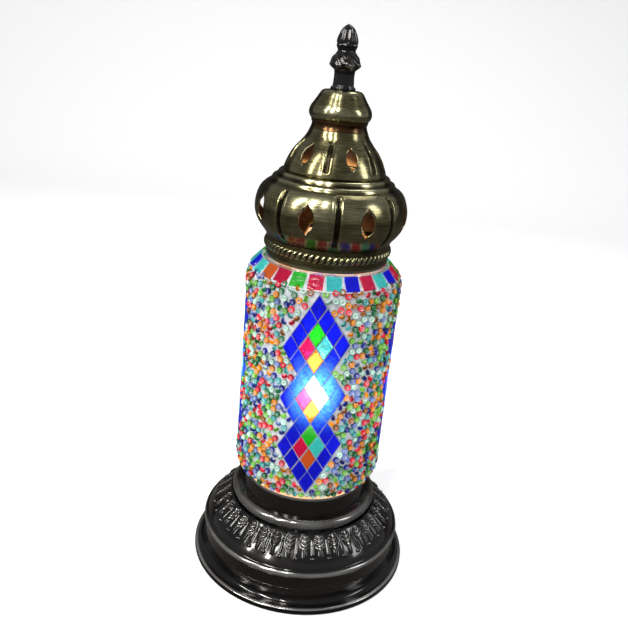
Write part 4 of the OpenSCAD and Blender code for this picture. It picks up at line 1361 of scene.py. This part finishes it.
def lit_opal(strength):
    """The bulb's opal globe, bright and cool white, a little dimmer towards its foot."""
    material, tree, shader, place = finish("lit_opal", Roughness=0.4, Emission_Strength=strength)
    height = node(tree, "ShaderNodeSeparateXYZ", [(0, place)]).outputs[2]
    low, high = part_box("bulb_globe")
    level = node(tree, "ShaderNodeMapRange", [(0, height), (1, low.z), (2, high.z)]).outputs[0]
    light = ramp(tree, level, [(0.0, (0.72, 0.84, 1.0)), (0.4, (0.9, 0.96, 1.0))])
    tree.links.new(light, shader.inputs["Base Color"])
    tree.links.new(light, shader.inputs["Emission Color"])
    return material


# The third colour of each grout is the colour of its painted glow.
pale_grout = grout_finish("pale_grout", (0.3, 0.32, 0.35), (0.58, 0.6, 0.64), (0.36, 0.38, 0.41))
dark_grout = grout_finish("dark_grout", (0.16, 0.16, 0.2), (0.32, 0.33, 0.38), (0.14, 0.15, 0.2))
for piece, finish_of in ((bead_bed, pale_grout), (wedges, pale_grout), (lattice, dark_grout)):
    piece.data.materials.append(finish_of)
shade.data.materials.append(blown_glass())
opal = lit_opal(9.0)


# %% Plain working finishes
def worked(name, colour, roughness, metallic=0.0, scale=300.0, bump_depth=0.00005, spread=0.25):
    """A finish for working parts: colour and roughness varied by fine noise."""
    material, tree, shader, place = finish(name, Metallic=metallic)
    grain = node(tree, "ShaderNodeTexNoise", [("Vector", place), ("Scale", scale), ("Detail", 4.0)])
    low = tuple(c * (1 - spread) for c in colour)
    tree.links.new(ramp(tree, grain.outputs[0], [(0.3, low), (0.7, colour)]), shader.inputs["Base Color"])
    rough = maths(tree, "ADD", roughness - 0.08, maths(tree, "MULTIPLY", grain.outputs[0], 0.16))
    tree.links.new(rough, shader.inputs["Roughness"])
    bumped(tree, shader, grain.outputs[0], 0.3, bump_depth)
    return material


felt = worked("green_felt", (0.03, 0.06, 0.035), 0.95, 0.0, 1600.0, 0.0003, 0.5)
steel = worked("zinc_plate", (0.62, 0.63, 0.65), 0.32, 1.0, 240.0)
rubber = worked("black_rubber", (0.02, 0.02, 0.02), 0.6, 0.0, 900.0)
silicone = worked("milky_silicone", (0.7, 0.68, 0.62), 0.45, 0.0, 120.0)
bakelite = worked("black_bakelite", (0.018, 0.017, 0.016), 0.28, 0.0, 200.0)
sheet_brass = worked("sheet_brass", (0.85, 0.6, 0.26), 0.25, 1.0, 350.0)
white_moulding = worked("white_moulding", (0.85, 0.85, 0.84), 0.35, 0.0, 150.0, 0.00002, 0.05)
board = worked("light_board", (0.9, 0.85, 0.6), 0.5, 0.0, 500.0)

# %% Give every piece its finish
for piece in (lower_dome, upper_dome, collar, rope, crown):
    piece.data.materials.append(brass)
for piece in (lower_dome, upper_dome):
    piece.data.materials.append(copper)
for piece in (bell, belt, ring_moulding, glass_cup, finial):
    piece.data.materials.append(bronze)
neck_ring.data.materials.append(brown_brass)

CAD_FINISH = dict(
    felt_pad=felt, bottom_plate=steel, cable_bush=rubber, stem_tube=steel, stem_nuts=steel,
    stem_washers=steel,
    glass_seat=silicone, lampholder_cap=bakelite, lampholder_body=bakelite, screw_shell=sheet_brass,
    centre_contact=sheet_brass, bulb_globe=opal, bulb_housing=white_moulding, bulb_led_board=board,
    bulb_screw_cap=steel, bulb_insulator=bakelite, bulb_contact=sheet_brass, neck_gasket=rubber,
    clip_strap=sheet_brass, tie_rod=steel, rod_nuts=steel)
for name, material in CAD_FINISH.items():
    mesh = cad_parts[name].data
    mesh.materials.clear()
    mesh.materials.append(material)
print("CAD nodes kept in view:", len(CAD_FINISH))
